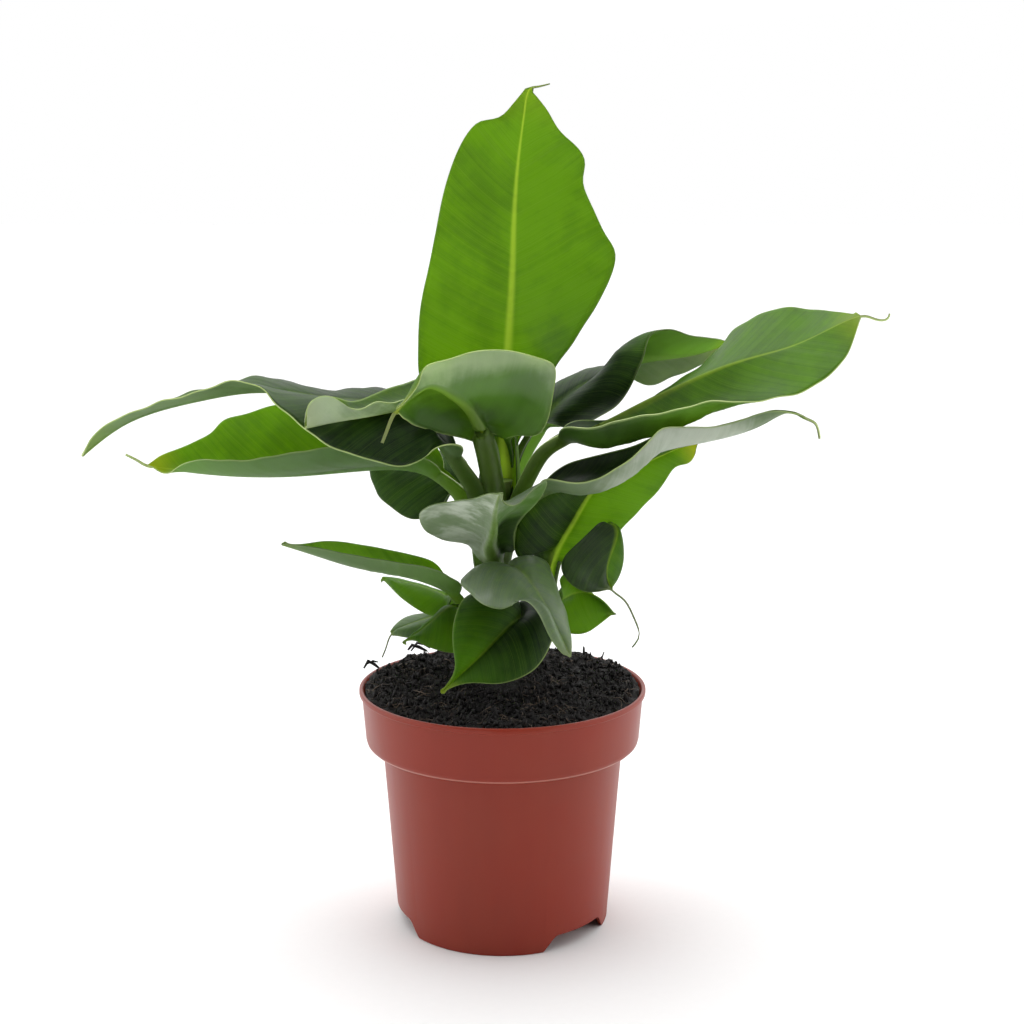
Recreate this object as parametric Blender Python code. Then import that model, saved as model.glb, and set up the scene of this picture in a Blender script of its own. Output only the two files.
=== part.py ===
"""Dwarf banana in a nursery pot: pot, soil, main stem, two side shoots and nineteen leaves.

The origin is the middle of the pot's foot, +Z is up and -Y is the front.
Sizes in this file are millimetres; meshes are made in metres.
"""

import math

import bpy
import numpy as np

MM = 0.001
GAP = 0.3  # between pieces that touch

# Pot: a 12 cm round pot with a wide rim band
POT_HEIGHT = 101.0
RIM_RADIUS = 60.0
BAND_BOTTOM = 77.0
BAND_RADIUS = 57.2
BODY_TOP_RADIUS = 50.5
FOOT_RADIUS = 44.7
WALL = 1.2
LIP_HEIGHT = 2.4
LIP_OUT = 1.1  # the lip stands out from the band by this
LIP_WIDTH = 2.0
EDGE = 0.6  # rounding of the rim's and band's edges
FLOOR_LIFT = 7.0
PLUG_RADIUS = 24.0  # the middle of the foot comes down to the ground again
PLUG_SLOPE = 6.0
ROUND = 48

# Openings in the pot's foot
NOTCHES = 3
NOTCH_TURN = 45.7
NOTCH_WIDTH = 37.8
NOTCH_HEIGHT = 6.6
NOTCH_SLOPE = 6.0
NOTCH_REACH = (-8.0, 4.0)  # from the foot's outside, inwards and outwards
DRAINS = 8
DRAIN_RADIUS = 3.5
DRAIN_CIRCLE = 36.5

# Soil
SOIL_FRONT = 98.4
SOIL_SHOULDER = 3.0
SOIL_SLOPE = 1.2
SOIL_RINGS = 5
SOIL_RISE = 2.2
SOIL_BUMP = 0.7
HOLE_DEPTH = 24.0

# Leaf blades and stalks
BLADE = 0.8
RIB_AT_STALK = 3.0
RIB_AT_TIP = 0.9
STALK_FOLD = 38.0
TAIL_HALF = 0.9

BRIGHT = (0.085, 0.26, 0.02, 1.0)
DARK = (0.03, 0.10, 0.02, 1.0)
GREY_GREEN = (0.14, 0.22, 0.12, 1.0)

# Stems: the middle line from soil to crown, and the radius at each end
STEMS = {
    "stem": dict(path=[(2, 18, 96), (-2, 15, 125), (-4, 12, 150), (-4, 8, 170), (-1, 6, 187)],
                 radii=(7.0, 6.0)),
    "shoot_left": dict(path=[(-11, 26, 97), (-14, 23, 114), (-17, 19, 130)], radii=(4.0, 3.0)),
    "shoot_right": dict(path=[(11, 32, 97), (16, 25, 118), (19, 19, 133)], radii=(4.0, 3.0)),
}


def half(width, lifts, shares=None, widest=0.4, curl=(0,)):
    """One half of a blade. lifts are degrees over the leaf's plane and shares are parts of the
    width, both spread evenly from the blade's base to its tip. curl bends the half across."""
    return dict(width=width, lifts=lifts, shares=shares, widest=widest, curl=curl)


# Each leaf: path is its middle line from the stem to the tip, blade is where the blade starts and
# ends along it, face is the way its upper side looks, and left is the half on the left of someone
# who stands on that side and looks towards the tip.
LEAVES = {
    "leaf_top": dict(
        path=[(0, 8, 183), (1, 10, 203), (2, 14, 240), (4, 18, 269), (5, 21, 297), (7, 22, 321),
              (9, 21, 336), (11, 19, 345), (14, 17, 346), (19, 15, 347)],
        blade=(0.12, 0.955), face=(0, -1, 0.1), stalk=4.0, on="stem", colour=BRIGHT,
        left=half(37, (8, 8, 8, 8, 8), shares=(0, 0.8, 0.98, 1, 0.98, 0.93, 0.87, 0.78, 0.66, 0.42, 0)),
        right=half(43, (35, 30, 15, 10, 8, 5), curl=(-80, -65, -20, 5, 5, 0),
                   shares=(0, 0.3, 0.53, 0.73, 0.89, 0.97, 0.87, 0.68, 0.62, 0.33, 0))),
    "leaf_front_cup": dict(
        path=[(-2, 3, 178), (-4, -3, 188), (-7, -8, 204), (-12, -13, 218), (-20, -21, 226), (-28, -27, 230),
              (-34, -31, 227), (-39, -34, 223), (-42, -36, 219), (-44, -37, 214), (-46, -37, 209)],
        blade=(0.32, 0.88), face=(0.1, 1, 0.35), stalk=4.0, on="stem", colour=GREY_GREEN,
        left=half(40, (10, 5, 10, 35, 50), shares=(0.53, 0.82, 0.95, 0.47, 0.17, 0.07, 0)),
        right=half(19, (10, 10, 10, 15, 20))),
    "leaf_front_left": dict(
        path=[(-3, 5, 183), (-5, 2, 200), (-13, 1, 216), (-29, -4, 221), (-47, -15, 219),
              (-62, -26, 217), (-76, -36, 215)],
        blade=(0.34, 1), face=(0, 0, 1), stalk=3.5, on="stem", colour=GREY_GREEN,
        left=half(11, (10, 10, 15, 20, 20)),
        right=half(13, (35, 35, 30, 28, 20))),
    "leaf_left_long": dict(
        path=[(-6, 4, 175), (-11, -1, 183), (-16, -5, 193), (-23, -7, 204), (-35, -6, 216), (-49, -4, 221),
              (-72, -3, 223), (-96, -4, 226), (-121, -10, 223), (-148, -18, 215), (-166, -24, 202)],
        blade=(0.15, 1), face=(0, 0, 1), stalk=4.0, on="stem", colour=DARK,
        left=half(31, (-40, -55, -30, 8, 18, 20, 20)),
        right=half(24, (0, -5, -10, -10, 0))),
    "leaf_left_lower": dict(
        path=[(-6, 7, 164), (-13, 5, 173), (-20, 3, 185), (-30, 4, 192), (-46, 6, 194), (-84, 8, 190),
              (-117, 6, 190), (-135, 4, 192), (-146, 2, 194), (-149, 1, 196), (-154, 0, 199)],
        blade=(0.2, 0.94), face=(0, 0, 1), stalk=4.0, on="stem", colour=BRIGHT,
        left=half(25, (30, 32, 32, 28, 20)),
        right=half(26, (60, 70, 75, 70, 60))),
    "leaf_left_dark": dict(
        path=[(-6, 10, 167), (-14, 16, 177), (-22, 19, 186), (-32, 24, 190), (-44, 32, 191), (-56, 40, 191)],
        blade=(0.3, 1), face=(0, 0, 1), stalk=3.0, on="stem", colour=DARK,
        left=half(27, (-70, -70, -70, -65, -60), widest=0.5),
        right=half(22, (10, 10, 10, 0, 0), widest=0.5)),
    "leaf_front_grey": dict(
        path=[(-4, 9, 147), (-4, 2, 153), (-5, -6, 161), (-4, -20, 169), (-3, -36, 178), (-2, -51, 187),
              (0, -62, 194)],
        blade=(0.14, 1), face=(0, 0.6, 0.8), stalk=3.5, on="stem", colour=GREY_GREEN,
        left=half(19, (0, 5, 15, 25, 30), shares=(0.3, 0.5, 0.7, 0.9, 1, 0.8, 0)),
        right=half(31, (10, 5, 0, -5, -8), shares=(0.3, 0.8, 1, 1, 0.9, 0.7, 0))),
    "leaf_right_dark": dict(
        path=[(2, 13, 179), (7, 15, 193), (13, 17, 204), (24, 22, 218), (41, 28, 228), (59, 34, 234),
              (81, 42, 236), (97, 50, 240)],
        blade=(0.24, 1), face=(0, 0, 1), stalk=4.0, on="stem", colour=DARK,
        left=half(20, (5, 5, 0, -20, -45, -60, -60), widest=0.5),
        right=half(23, (-70, -72, -65, -20, 45, 35, 30), widest=0.5)),
    "leaf_right_big": dict(
        path=[(3, 6, 180), (10, 2, 188), (14, 0, 196), (20, -2, 203), (38, -5, 212), (55, -8, 221),
              (71, -11, 229), (87, -14, 236), (102, -17, 241), (119, -20, 247), (140, -24, 257),
              (145, -25, 256), (149, -26, 256), (150, -26, 258)],
        blade=(0.2, 0.93), face=(0, 0, 1), stalk=4.0, on="stem", colour=BRIGHT,
        left=half(29, (-15, -20, -10, 15, 30, 30, 30), widest=0.6),
        right=half(29, (-10, -15, -20, -30, -30), widest=0.6, curl=(-30, -50, -55, -30, 0))),
    "leaf_right_narrow": dict(
        path=[(2, 2, 171), (8, -4, 178), (15, -7, 185), (27, -10, 189), (39, -13, 192), (57, -17, 200),
              (78, -22, 205), (101, -27, 213), (112, -30, 220), (118, -31, 218), (122, -32, 216),
              (124, -32, 210)],
        blade=(0.16, 0.93), face=(0, 0, 1), stalk=3.5, on="stem", colour=DARK,
        left=half(14, (40, 45, 45, 45, 40), widest=0.3, curl=(-25,)),
        right=half(20, (0, 5, 30, 45, 40), widest=0.3)),
    "leaf_right_lower": dict(
        path=[(19, 22, 132), (21, 17, 150), (30, 11, 169), (40, 6, 185), (56, 1, 194), (70, -3, 201),
              (79, -6, 205)],
        blade=(0.2, 1), face=(0.1, -0.9, 0.45), stalk=3.0, on="shoot_right", colour=BRIGHT,
        left=half(20, (15,), shares=(0.5, 1, 0.95, 0.6, 0.35, 0.2, 0)),
        right=half(21, (5, 5, 0, 0, 0))),
    "leaf_right_hanging": dict(
        path=[(20, 18, 127), (28, 13, 140), (35, 5, 154), (41, -3, 167), (44, -10, 172), (46, -16, 170),
              (44, -21, 163), (42, -23, 155), (44, -24, 148), (49, -25, 144), (53, -26, 137), (55, -27, 130),
              (52, -28, 125)],
        blade=(0.46, 0.77), face=(0, -0.3, 1), stalk=2.5, on="shoot_right", colour=DARK,
        left=half(8, (-20,), shares=(0, 0.4, 0.5, 0.7, 1, 0.9, 0)),
        right=half(19, (-10,), shares=(0.15, 0.35, 0.55, 0.8, 1, 0.9, 0))),
    "leaf_low_front": dict(
        path=[(-1, 10, 136), (0, 0, 145), (2, -12, 154), (7, -24, 156), (14, -36, 150), (21, -43, 138),
              (27, -46, 126)],
        blade=(0.25, 1), face=(0, -0.6, 0.8), stalk=2.5, on="stem", colour=GREY_GREEN,
        left=half(16, (10, 0, -10, -20, -20), widest=0.35),
        right=half(24, (0, 0, 10, 10, 0), shares=(0.3, 1, 0.85, 0.6, 0.5, 0.35, 0))),
    "leaf_low_right": dict(
        path=[(17, 21, 116), (21, 10, 129), (27, 0, 139), (34, -8, 143), (41, -14, 141), (46, -18, 136)],
        blade=(0.42, 1), face=(0, 0, 1), stalk=2.5, on="shoot_right", colour=BRIGHT,
        left=half(9, (40,), shares=(0.3, 0.6, 1, 1, 0.8, 0.5, 0)),
        right=half(20, (-65, -70, -70, -65, -60))),
    "leaf_heart": dict(
        path=[(1, 14, 116), (5, 2, 126), (8, -7, 132), (3, -19, 131), (-5, -28, 125), (-13, -36, 119),
              (-24, -42, 110)],
        blade=(0.25, 1), face=(-0.2, -0.8, 0.6), stalk=2.5, on="stem", colour=DARK, lobe=8.0,
        left=half(20, (10, 10, 5, 5, 5)),
        right=half(19, (10, 10, 10, 5, 5))),
    "leaf_low_left_long": dict(
        path=[(-17, 19, 128), (-20, 11, 137), (-28, 4, 144), (-42, -4, 150), (-58, -10, 154), (-74, -16, 160),
              (-88, -22, 166)],
        blade=(0.14, 1), face=(0, 0, 1), stalk=2.0, on="shoot_left", colour=DARK,
        left=half(15, (40,), widest=0.45),
        right=half(15, (50, 50, 50, 50, 45), widest=0.45)),
    "leaf_low_left_bright": dict(
        path=[(-17, 21, 127), (-23, 22, 133), (-31, 19, 138), (-42, 18, 141), (-52, 18, 142)],
        blade=(0.25, 1), face=(0, 0, 1), stalk=2.0, on="shoot_left", colour=BRIGHT,
        left=half(14, (-50, -60, -60, -60, -50), widest=0.5),
        right=half(12, (0,), widest=0.5)),
    "leaf_low_left_small": dict(
        path=[(-15, 23, 117), (-22, 27, 124), (-32, 28, 123), (-43, 28, 119), (-49, 28, 115), (-51, 28, 110),
              (-53, 28, 105)],
        blade=(0.35, 0.78), face=(0, 0, 1), stalk=1.5, on="shoot_left", colour=DARK,
        left=half(9, (-50,), widest=0.45),
        right=half(9, (10,), widest=0.45)),
    "leaf_low_left_brown": dict(
        path=[(-16, 19, 123), (-20, 8, 133), (-26, -1, 132), (-33, -7, 127), (-41, -11, 122)],
        blade=(0.25, 1), face=(0, -0.7, 0.7), stalk=2.0, on="shoot_left", colour=BRIGHT,
        left=half(17, (-10,), widest=0.45),
        right=half(5, (0,), widest=0.45)),
}


def clear_scene():
    """Removes everything that the opened scene holds."""
    for old in list(bpy.data.objects):
        bpy.data.objects.remove(old, do_unlink=True)


def material(name, colour, roughness):
    """A plain Principled material."""
    made = bpy.data.materials.new(name)
    made.use_nodes = True
    shader = made.node_tree.nodes["Principled BSDF"]
    shader.inputs["Base Color"].default_value = colour
    shader.inputs["Roughness"].default_value = roughness
    shader.inputs["Metallic"].default_value = 0.0
    return made


def solid(name, points, faces, surface, smooth_under=40.0):
    """An object from points in millimetres."""
    mesh = bpy.data.meshes.new(name)
    mesh.from_pydata([tuple(float(v) * MM for v in p) for p in points], [], faces)
    mesh.update()
    mesh.shade_smooth()
    mesh.set_sharp_from_angle(angle=math.radians(smooth_under))
    if surface:
        mesh.materials.append(surface)
    made = bpy.data.objects.new(name, mesh)
    bpy.context.scene.collection.objects.link(made)
    return made


def cut(target, cutter):
    """Takes a cutter's shape out of target and hides the cutter."""
    cutter.hide_render = True
    cutter.display_type = "WIRE"
    change = target.modifiers.new("cut_" + cutter.name, "BOOLEAN")
    change.operation = "DIFFERENCE"
    change.solver = "EXACT"
    change.object = cutter


def turned(name, profile, surface, count=ROUND):
    """A solid of revolution. profile is a closed outline of (radius, height), seen with the axis
    on its left and listed counter-clockwise; points on the axis become one point."""
    points, rings = [], []
    for radius, height in profile:
        if radius == 0:
            rings.append([len(points)] * count)
            points.append((0.0, 0.0, height))
            continue
        rings.append(list(range(len(points), len(points) + count)))
        for k in range(count):
            turn = 2 * math.pi * k / count
            points.append((radius * math.cos(turn), radius * math.sin(turn), height))
    faces = []
    for n, ring in enumerate(rings):
        after = rings[(n + 1) % len(rings)]
        for k in range(count):
            j = (k + 1) % count
            corners = [ring[k], ring[j], after[j], after[k]]
            face = [c for i, c in enumerate(corners) if c != corners[i - 1]]
            if len(face) > 2:
                faces.append(face)
    return solid(name, points, faces, surface)


def smooth_path(points, places):
    """Points at the given shares of the length of a natural cubic curve through points."""
    p = np.array(points, float)
    count = len(p)
    steps = np.linalg.norm(np.diff(p, axis=0), axis=1) ** 0.5
    knots = np.concatenate([[0.0], np.cumsum(steps)])
    system = np.eye(count)
    bends = np.zeros_like(p)
    for i in range(1, count - 1):
        before, after = steps[i - 1], steps[i]
        system[i, i - 1:i + 2] = before, 2 * (before + after), after
        bends[i] = 6 * ((p[i + 1] - p[i]) / after - (p[i] - p[i - 1]) / before)
    bends = np.linalg.solve(system, bends)
    fine = np.linspace(0.0, knots[-1], 400)
    k = np.clip(np.searchsorted(knots, fine, side="right") - 1, 0, count - 2)
    step = steps[k][:, None]
    t = fine[:, None] - knots[k][:, None]
    slope = (p[k + 1] - p[k]) / step - step * (2 * bends[k] + bends[k + 1]) / 6
    curve = p[k] + t * (slope + t * (bends[k] / 2 + t * (bends[k + 1] - bends[k]) / (6 * step)))
    run = np.concatenate([[0.0], np.cumsum(np.linalg.norm(np.diff(curve, axis=0), axis=1))])
    wanted = np.asarray(places) * run[-1]
    return np.stack([np.interp(wanted, run, curve[:, axis]) for axis in range(3)], axis=1)


def spread(values, share):
    """Values at even stations from 0 to 1, joined smoothly."""
    v = np.array(values, float)
    if len(v) == 1:
        return np.full_like(share, v[0])
    step = 1.0 / (len(v) - 1)
    k = np.clip((share / step).astype(int), 0, len(v) - 2)
    t = share / step - k
    slope = np.gradient(v)
    return ((2 * t**3 - 3 * t**2 + 1) * v[k] + (t**3 - 2 * t**2 + t) * slope[k]
            + (3 * t**2 - 2 * t**3) * v[k + 1] + (t**3 - t**2) * slope[k + 1])


def blade_shape(share, widest):
    """A blade's outline: a round base, the widest place and a long point."""
    base = 0.5
    point = max(base * (1 - widest) / widest, 0.6)
    peak = base / (base + point)
    return share**base * (1 - share) ** point / (peak**base * (1 - peak) ** point)


def unit(vectors):
    """The same directions with length 1."""
    return vectors / np.maximum(np.linalg.norm(vectors, axis=-1, keepdims=True), 1e-9)


def leaf_grid(leaf, places, across):
    """The upper surface as rows of points along the leaf, from its left margin to its right."""
    start, end = leaf["blade"]
    middle = smooth_path(leaf["path"], places)
    ahead = unit(np.gradient(middle, axis=0))
    side = unit(np.cross(np.array(leaf["face"], float), ahead))
    up = unit(np.cross(ahead, side))
    share = np.clip((places - start) / (end - start), 0.0, 1.0)
    stalk = np.clip(1 - 6 * share, 0.0, 1.0)
    back = leaf.get("lobe", 0.0) * (1 - share) ** 3 * (share > 0)
    grid = np.zeros((len(places), 2 * across + 1, 3))
    grid[:, across] = middle
    for sign, key in ((1, "left"), (-1, "right")):
        form = leaf[key]
        if form["shares"] is None:
            shape = blade_shape(share, form["widest"])
        else:
            shape = np.maximum(spread(form["shares"], share), 0.0)
        shape[places < start] = 0.0
        width = np.maximum(form["width"] * shape, leaf["stalk"] * stalk)
        width = np.maximum(width, TAIL_HALF)
        fold = np.where(places < start, 1.0, np.clip(1 - 8 * share, 0.0, 1.0))
        lift = np.radians(spread(form["lifts"], share) * (1 - fold) + STALK_FOLD * fold)
        curl = np.radians(spread(form["curl"], share))
        place = middle.copy()
        for step in range(1, across + 1):
            turn = lift + curl * (1 - (2 * step - 1) / across)
            way = np.cos(turn)[:, None] * sign * side + np.sin(turn)[:, None] * up
            place = place + way * (width / across)[:, None]
            behind = (back * (step / across) ** 1.5)[:, None] * ahead
            grid[:, across - sign * step] = place - behind
    return grid, share


def grid_normals(grid):
    """The way that the upper side looks at each point of a leaf's grid."""
    along = np.gradient(grid, axis=0)
    over = np.gradient(grid, axis=1)
    return unit(np.cross(over, along))


def leaf_solid(name, leaf, rows, across):
    """A closed blade with its stalk: the upper surface, and a lower one under it by the blade's
    thickness, with a rib along the middle. Both faces are split into triangles the same way."""
    start, end = leaf["blade"]
    places = np.concatenate([
        np.linspace(0.0, start, 4)[:-1], np.linspace(start, end, rows),
        np.linspace(end, 1.0, 3)[1:] if end < 1 else np.zeros(0)])
    top, share = leaf_grid(leaf, places, across)
    rib = RIB_AT_STALK + (RIB_AT_TIP - RIB_AT_STALK) * np.minimum(share * 1.3, 1.0)
    rib = rib * min(1.0, leaf["stalk"] / 3.0)
    depth = np.full(top.shape[:2], BLADE)
    depth[:, across] = np.maximum(rib, BLADE)
    under = top - grid_normals(top) * depth[..., None]
    count, wide = top.shape[:2]
    points = np.concatenate([top.reshape(-1, 3), under.reshape(-1, 3)])

    def at(row, column, layer):
        return layer * count * wide + row * wide + column

    faces = []
    for i in range(count - 1):
        for j in range(wide - 1):
            ring = [(i, j), (i, j + 1), (i + 1, j + 1), (i + 1, j)]
            split = (ring[:3], [ring[0], ring[2], ring[3]])
            if j >= across:
                split = ([ring[0], ring[1], ring[3]], ring[1:])
            for part in split:
                faces.append([at(r, c, 0) for r, c in part])
                faces.append([at(r, c, 1) for r, c in reversed(part)])
        faces.append([at(i + 1, 0, 0), at(i + 1, 0, 1), at(i, 0, 1), at(i, 0, 0)])
        edge = wide - 1
        faces.append([at(i, edge, 0), at(i, edge, 1), at(i + 1, edge, 1), at(i + 1, edge, 0)])
    last = count - 1
    for j in range(wide - 1):
        faces.append([at(0, j, 0), at(0, j, 1), at(0, j + 1, 1), at(0, j + 1, 0)])
        faces.append([at(last, j + 1, 0), at(last, j + 1, 1), at(last, j, 1), at(last, j, 0)])
    surface = material("green_" + name, leaf["colour"], 0.4)
    return solid(name, points, faces, surface, 60.0)


def tube(name, middle, radii, surface, sides=16):
    """A round bar along middle, with flat level ends."""
    count = len(middle)
    points, faces = [], []
    for centre, radius in zip(middle, radii):
        for k in range(sides):
            turn = 2 * math.pi * k / sides
            out = np.array([math.cos(turn), math.sin(turn), 0.0])
            points.append(centre + radius * out)
    for i in range(count - 1):
        for k in range(sides):
            j = (k + 1) % sides
            faces.append([i * sides + k, i * sides + j, (i + 1) * sides + j, (i + 1) * sides + k])
    faces.append(list(reversed(range(sides))))
    faces.append([(count - 1) * sides + k for k in range(sides)])
    return solid(name, points, faces, surface)


def stem_shape(stem, grow):
    """The middle line and radii of a stem from its foot in the soil, grown all round by grow."""
    middle = smooth_path(stem["path"], np.linspace(0.0, 1.0, 7))
    foot = middle[0] - np.array([0.0, 0.0, HOLE_DEPTH])
    middle = np.concatenate([[foot], middle])
    radii = np.concatenate([[stem["radii"][0]], np.linspace(*stem["radii"], 7)])
    middle[0, 2] -= grow
    middle[-1, 2] += grow
    return middle, radii + grow


def inner_wall(height):
    """The pot's inside radius at a height."""
    if height < BAND_BOTTOM:
        rise = height / BAND_BOTTOM
        return FOOT_RADIUS + (BODY_TOP_RADIUS - FOOT_RADIUS) * rise - WALL
    rise = (height - BAND_BOTTOM) / (POT_HEIGHT - BAND_BOTTOM)
    return BAND_RADIUS + (RIM_RADIUS - LIP_OUT - BAND_RADIUS) * rise - WALL


def make_pot():
    """The moulded pot, with its rim band, lip, raised floor ring, foot notches and drain holes."""
    lip = POT_HEIGHT - LIP_HEIGHT
    ledge = BAND_BOTTOM + WALL
    top = FLOOR_LIFT + WALL
    foot_inside = FOOT_RADIUS - WALL
    slope_end = PLUG_RADIUS + PLUG_SLOPE
    profile = [
        (0, 0), (PLUG_RADIUS, 0), (slope_end, FLOOR_LIFT), (foot_inside - WALL, FLOOR_LIFT),
        (foot_inside, 0), (FOOT_RADIUS, 0), (BODY_TOP_RADIUS, BAND_BOTTOM),
        (BAND_RADIUS - EDGE, BAND_BOTTOM), (BAND_RADIUS, BAND_BOTTOM + EDGE), (RIM_RADIUS - LIP_OUT, lip),
        (RIM_RADIUS, lip + EDGE), (RIM_RADIUS, POT_HEIGHT - EDGE), (RIM_RADIUS - EDGE, POT_HEIGHT),
        (RIM_RADIUS - LIP_WIDTH, POT_HEIGHT), (inner_wall(lip), lip), (inner_wall(ledge), ledge),
        (BODY_TOP_RADIUS - WALL, ledge), (inner_wall(top), top),
        (slope_end, top), (PLUG_RADIUS, WALL), (0, WALL)]
    pot = turned("pot", profile, material("terracotta_plastic", (0.42, 0.09, 0.05, 1.0), 0.38))
    for n in range(NOTCHES):
        turn = math.radians(-90 + NOTCH_TURN + 360 * n / NOTCHES)
        cut(pot, notch_cutter(f"notch_cutter_{n}", turn))
    for n in range(DRAINS):
        turn = 2 * math.pi * (n + 0.5) / DRAINS
        x, y = DRAIN_CIRCLE * math.cos(turn), DRAIN_CIRCLE * math.sin(turn)
        middle = [(x, y, FLOOR_LIFT - 1), (x, y, FLOOR_LIFT + WALL + 1)]
        cut(pot, tube(f"drain_cutter_{n}", middle, (DRAIN_RADIUS, DRAIN_RADIUS), None))
    return pot


def notch_cutter(name, turn):
    """A block with sloping ends that reaches across the pot's foot wall."""
    out, over = np.array([math.cos(turn), math.sin(turn), 0]), np.array([-math.sin(turn), math.cos(turn), 0])
    rise = np.array([0, 0, 1.0])
    wide = NOTCH_WIDTH / 2
    narrow = wide - NOTCH_SLOPE
    outline = [(-wide, -1), (wide, -1), (narrow, NOTCH_HEIGHT), (-narrow, NOTCH_HEIGHT)]
    points = [out * (FOOT_RADIUS + reach) + over * a + rise * b for reach in NOTCH_REACH for a, b in outline]
    faces = [[3, 2, 1, 0], [4, 5, 6, 7], [0, 1, 5, 4], [1, 2, 6, 5], [2, 3, 7, 6], [3, 0, 4, 7]]
    return solid(name, points, faces, None)


def make_soil():
    """The soil fills the pot, a little lower at the front and heaped at the back."""
    low = WALL + GAP
    top = FLOOR_LIFT + low
    ledge = BAND_BOTTOM + low
    shoulder = SOIL_FRONT - SOIL_SHOULDER
    outer = inner_wall(SOIL_FRONT) - SOIL_SLOPE
    profile = [(0, low), (PLUG_RADIUS - GAP, low), (PLUG_RADIUS + PLUG_SLOPE - GAP, top),
               (inner_wall(top) - GAP, top), (BODY_TOP_RADIUS - low, ledge),
               (inner_wall(ledge) - GAP, ledge), (inner_wall(shoulder) - GAP, shoulder)]
    profile += [(outer * (SOIL_RINGS - n) / SOIL_RINGS, SOIL_FRONT) for n in range(SOIL_RINGS)]
    profile += [(0, SOIL_FRONT)]
    soil = turned("soil", profile, material("peat", (0.03, 0.018, 0.01, 1.0), 0.95))
    for point in soil.data.vertices:
        if point.co.z > (SOIL_FRONT - 0.5) * MM:
            x, y = point.co.x / MM, point.co.y / MM
            rise = SOIL_RISE * (0.5 + 0.5 * y / outer)
            bump = math.sin(0.21 * x + 0.8) * math.cos(0.17 * y - 0.4) + 0.6 * math.sin(0.37 * x - 0.29 * y)
            point.co.z += (rise + SOIL_BUMP * bump) * MM
    return soil


def make_stems(soil):
    """The main stem and the side shoots, each standing in a plain hole in the soil."""
    surface = material("stem_green", (0.16, 0.24, 0.04, 1.0), 0.45)
    sockets = {}
    for name, stem in STEMS.items():
        tube(name, *stem_shape(stem, 0.0), surface)
        sockets[name] = tube(name + "_clearance", *stem_shape(stem, GAP), None)
        cut(soil, sockets[name])
    return sockets


def make_leaves(sockets):
    """Every leaf, its stalk ending just clear of the stem that carries it."""
    for name, leaf in LEAVES.items():
        small = leaf["on"] != "stem"
        made = leaf_solid(name, leaf, 11 if small else 13, 2 if small else 3)
        cut(made, sockets[leaf["on"]])


def main():
    clear_scene()
    make_pot()
    soil = make_soil()
    make_leaves(make_stems(soil))


main()
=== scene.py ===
"""The dressed dwarf banana in its nursery pot, on a white studio floor.

Leaves, stems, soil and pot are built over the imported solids, in millimetres that are scaled to
metres when a mesh is made. The front of the plant is -Y.
"""
import math

import bpy
import numpy as np
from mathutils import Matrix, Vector, noise


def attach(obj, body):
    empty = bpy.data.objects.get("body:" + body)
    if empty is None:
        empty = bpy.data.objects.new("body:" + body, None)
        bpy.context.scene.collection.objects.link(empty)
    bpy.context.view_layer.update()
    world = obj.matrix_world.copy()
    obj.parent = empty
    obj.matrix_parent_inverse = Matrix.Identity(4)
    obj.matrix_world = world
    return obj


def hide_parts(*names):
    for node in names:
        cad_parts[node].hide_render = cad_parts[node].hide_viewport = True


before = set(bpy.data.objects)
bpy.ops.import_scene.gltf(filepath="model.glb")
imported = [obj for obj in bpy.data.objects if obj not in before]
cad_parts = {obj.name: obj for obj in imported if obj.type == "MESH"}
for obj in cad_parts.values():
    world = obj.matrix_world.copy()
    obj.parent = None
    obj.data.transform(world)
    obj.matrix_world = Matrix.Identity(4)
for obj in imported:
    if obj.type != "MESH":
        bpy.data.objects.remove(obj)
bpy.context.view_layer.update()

MM = 0.001
rng = np.random.default_rng(7)

# Camera: fitted to the pot's ellipses in the photograph
CAMERA_PLACE = (4, -668, 301)
CAMERA_PITCH = 10.7
CAMERA_LENS = 58.0
SENSOR = 36.0
FRAME = 1024

# Pot, as in the solids
POT_HEIGHT = 101.0
RIM_RADIUS = 60.0
BAND_BOTTOM = 77.0
BAND_RADIUS = 57.2
BODY_TOP_RADIUS = 50.5
FOOT_RADIUS = 44.7
WALL = 1.2
LIP_HEIGHT = 2.4
LIP_OUT = 1.1
FLOOR_LIFT = 7.0
PLUG_RADIUS = 24.0
PLUG_SLOPE = 6.0
NOTCHES = 3
NOTCH_TURN = 45.7
NOTCH_WIDTH = 37.8
NOTCH_HEIGHT = 6.6
NOTCH_SLOPE = 6.0
DRAINS = 8
DRAIN_RADIUS = 3.5
DRAIN_CIRCLE = 36.5
NOTCH_REACH = (-8.0, 4.0)  # from the foot's outside, inwards and outwards
POT_SIDES = 216
# Height of the painted highlight line on the band's rounded lower edge.
HIGHLIGHT_LINE = BAND_BOTTOM + 1.1
FLASH_SPAN = (-5, 19)  # degrees from the front
FLASH_FADE = 1.5
FLASH_STEP = 0.35
GAP = 0.3  # between the soil and the pot

# Soil
SOIL_FRONT = 98.4
SOIL_RISE = 4.0
TWIGS = (  # twigs that stick out over the rim: lines of column, row and Y, and a thickness
    (((364, 668, 15), (368, 661, 18), (374, 664, 20), (379, 668, 22)), 0.75),
    (((367, 664, 18), (373, 661, 20), (378, 662, 20)), 0.5),
    (((408, 650, 45), (412, 645, 46), (419, 647, 46), (427, 651, 45)), 0.8),
    (((411, 651, 44), (417, 643, 46), (424, 644, 47), (430, 648, 46)), 0.6),
    (((604, 652, 44), (601, 660, 42), (606, 666, 38)), 0.5),
)

CRUMBS = 2600
FIBRES = 560
SOIL_RINGS = 56
SOIL_SIDES = 220

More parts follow.
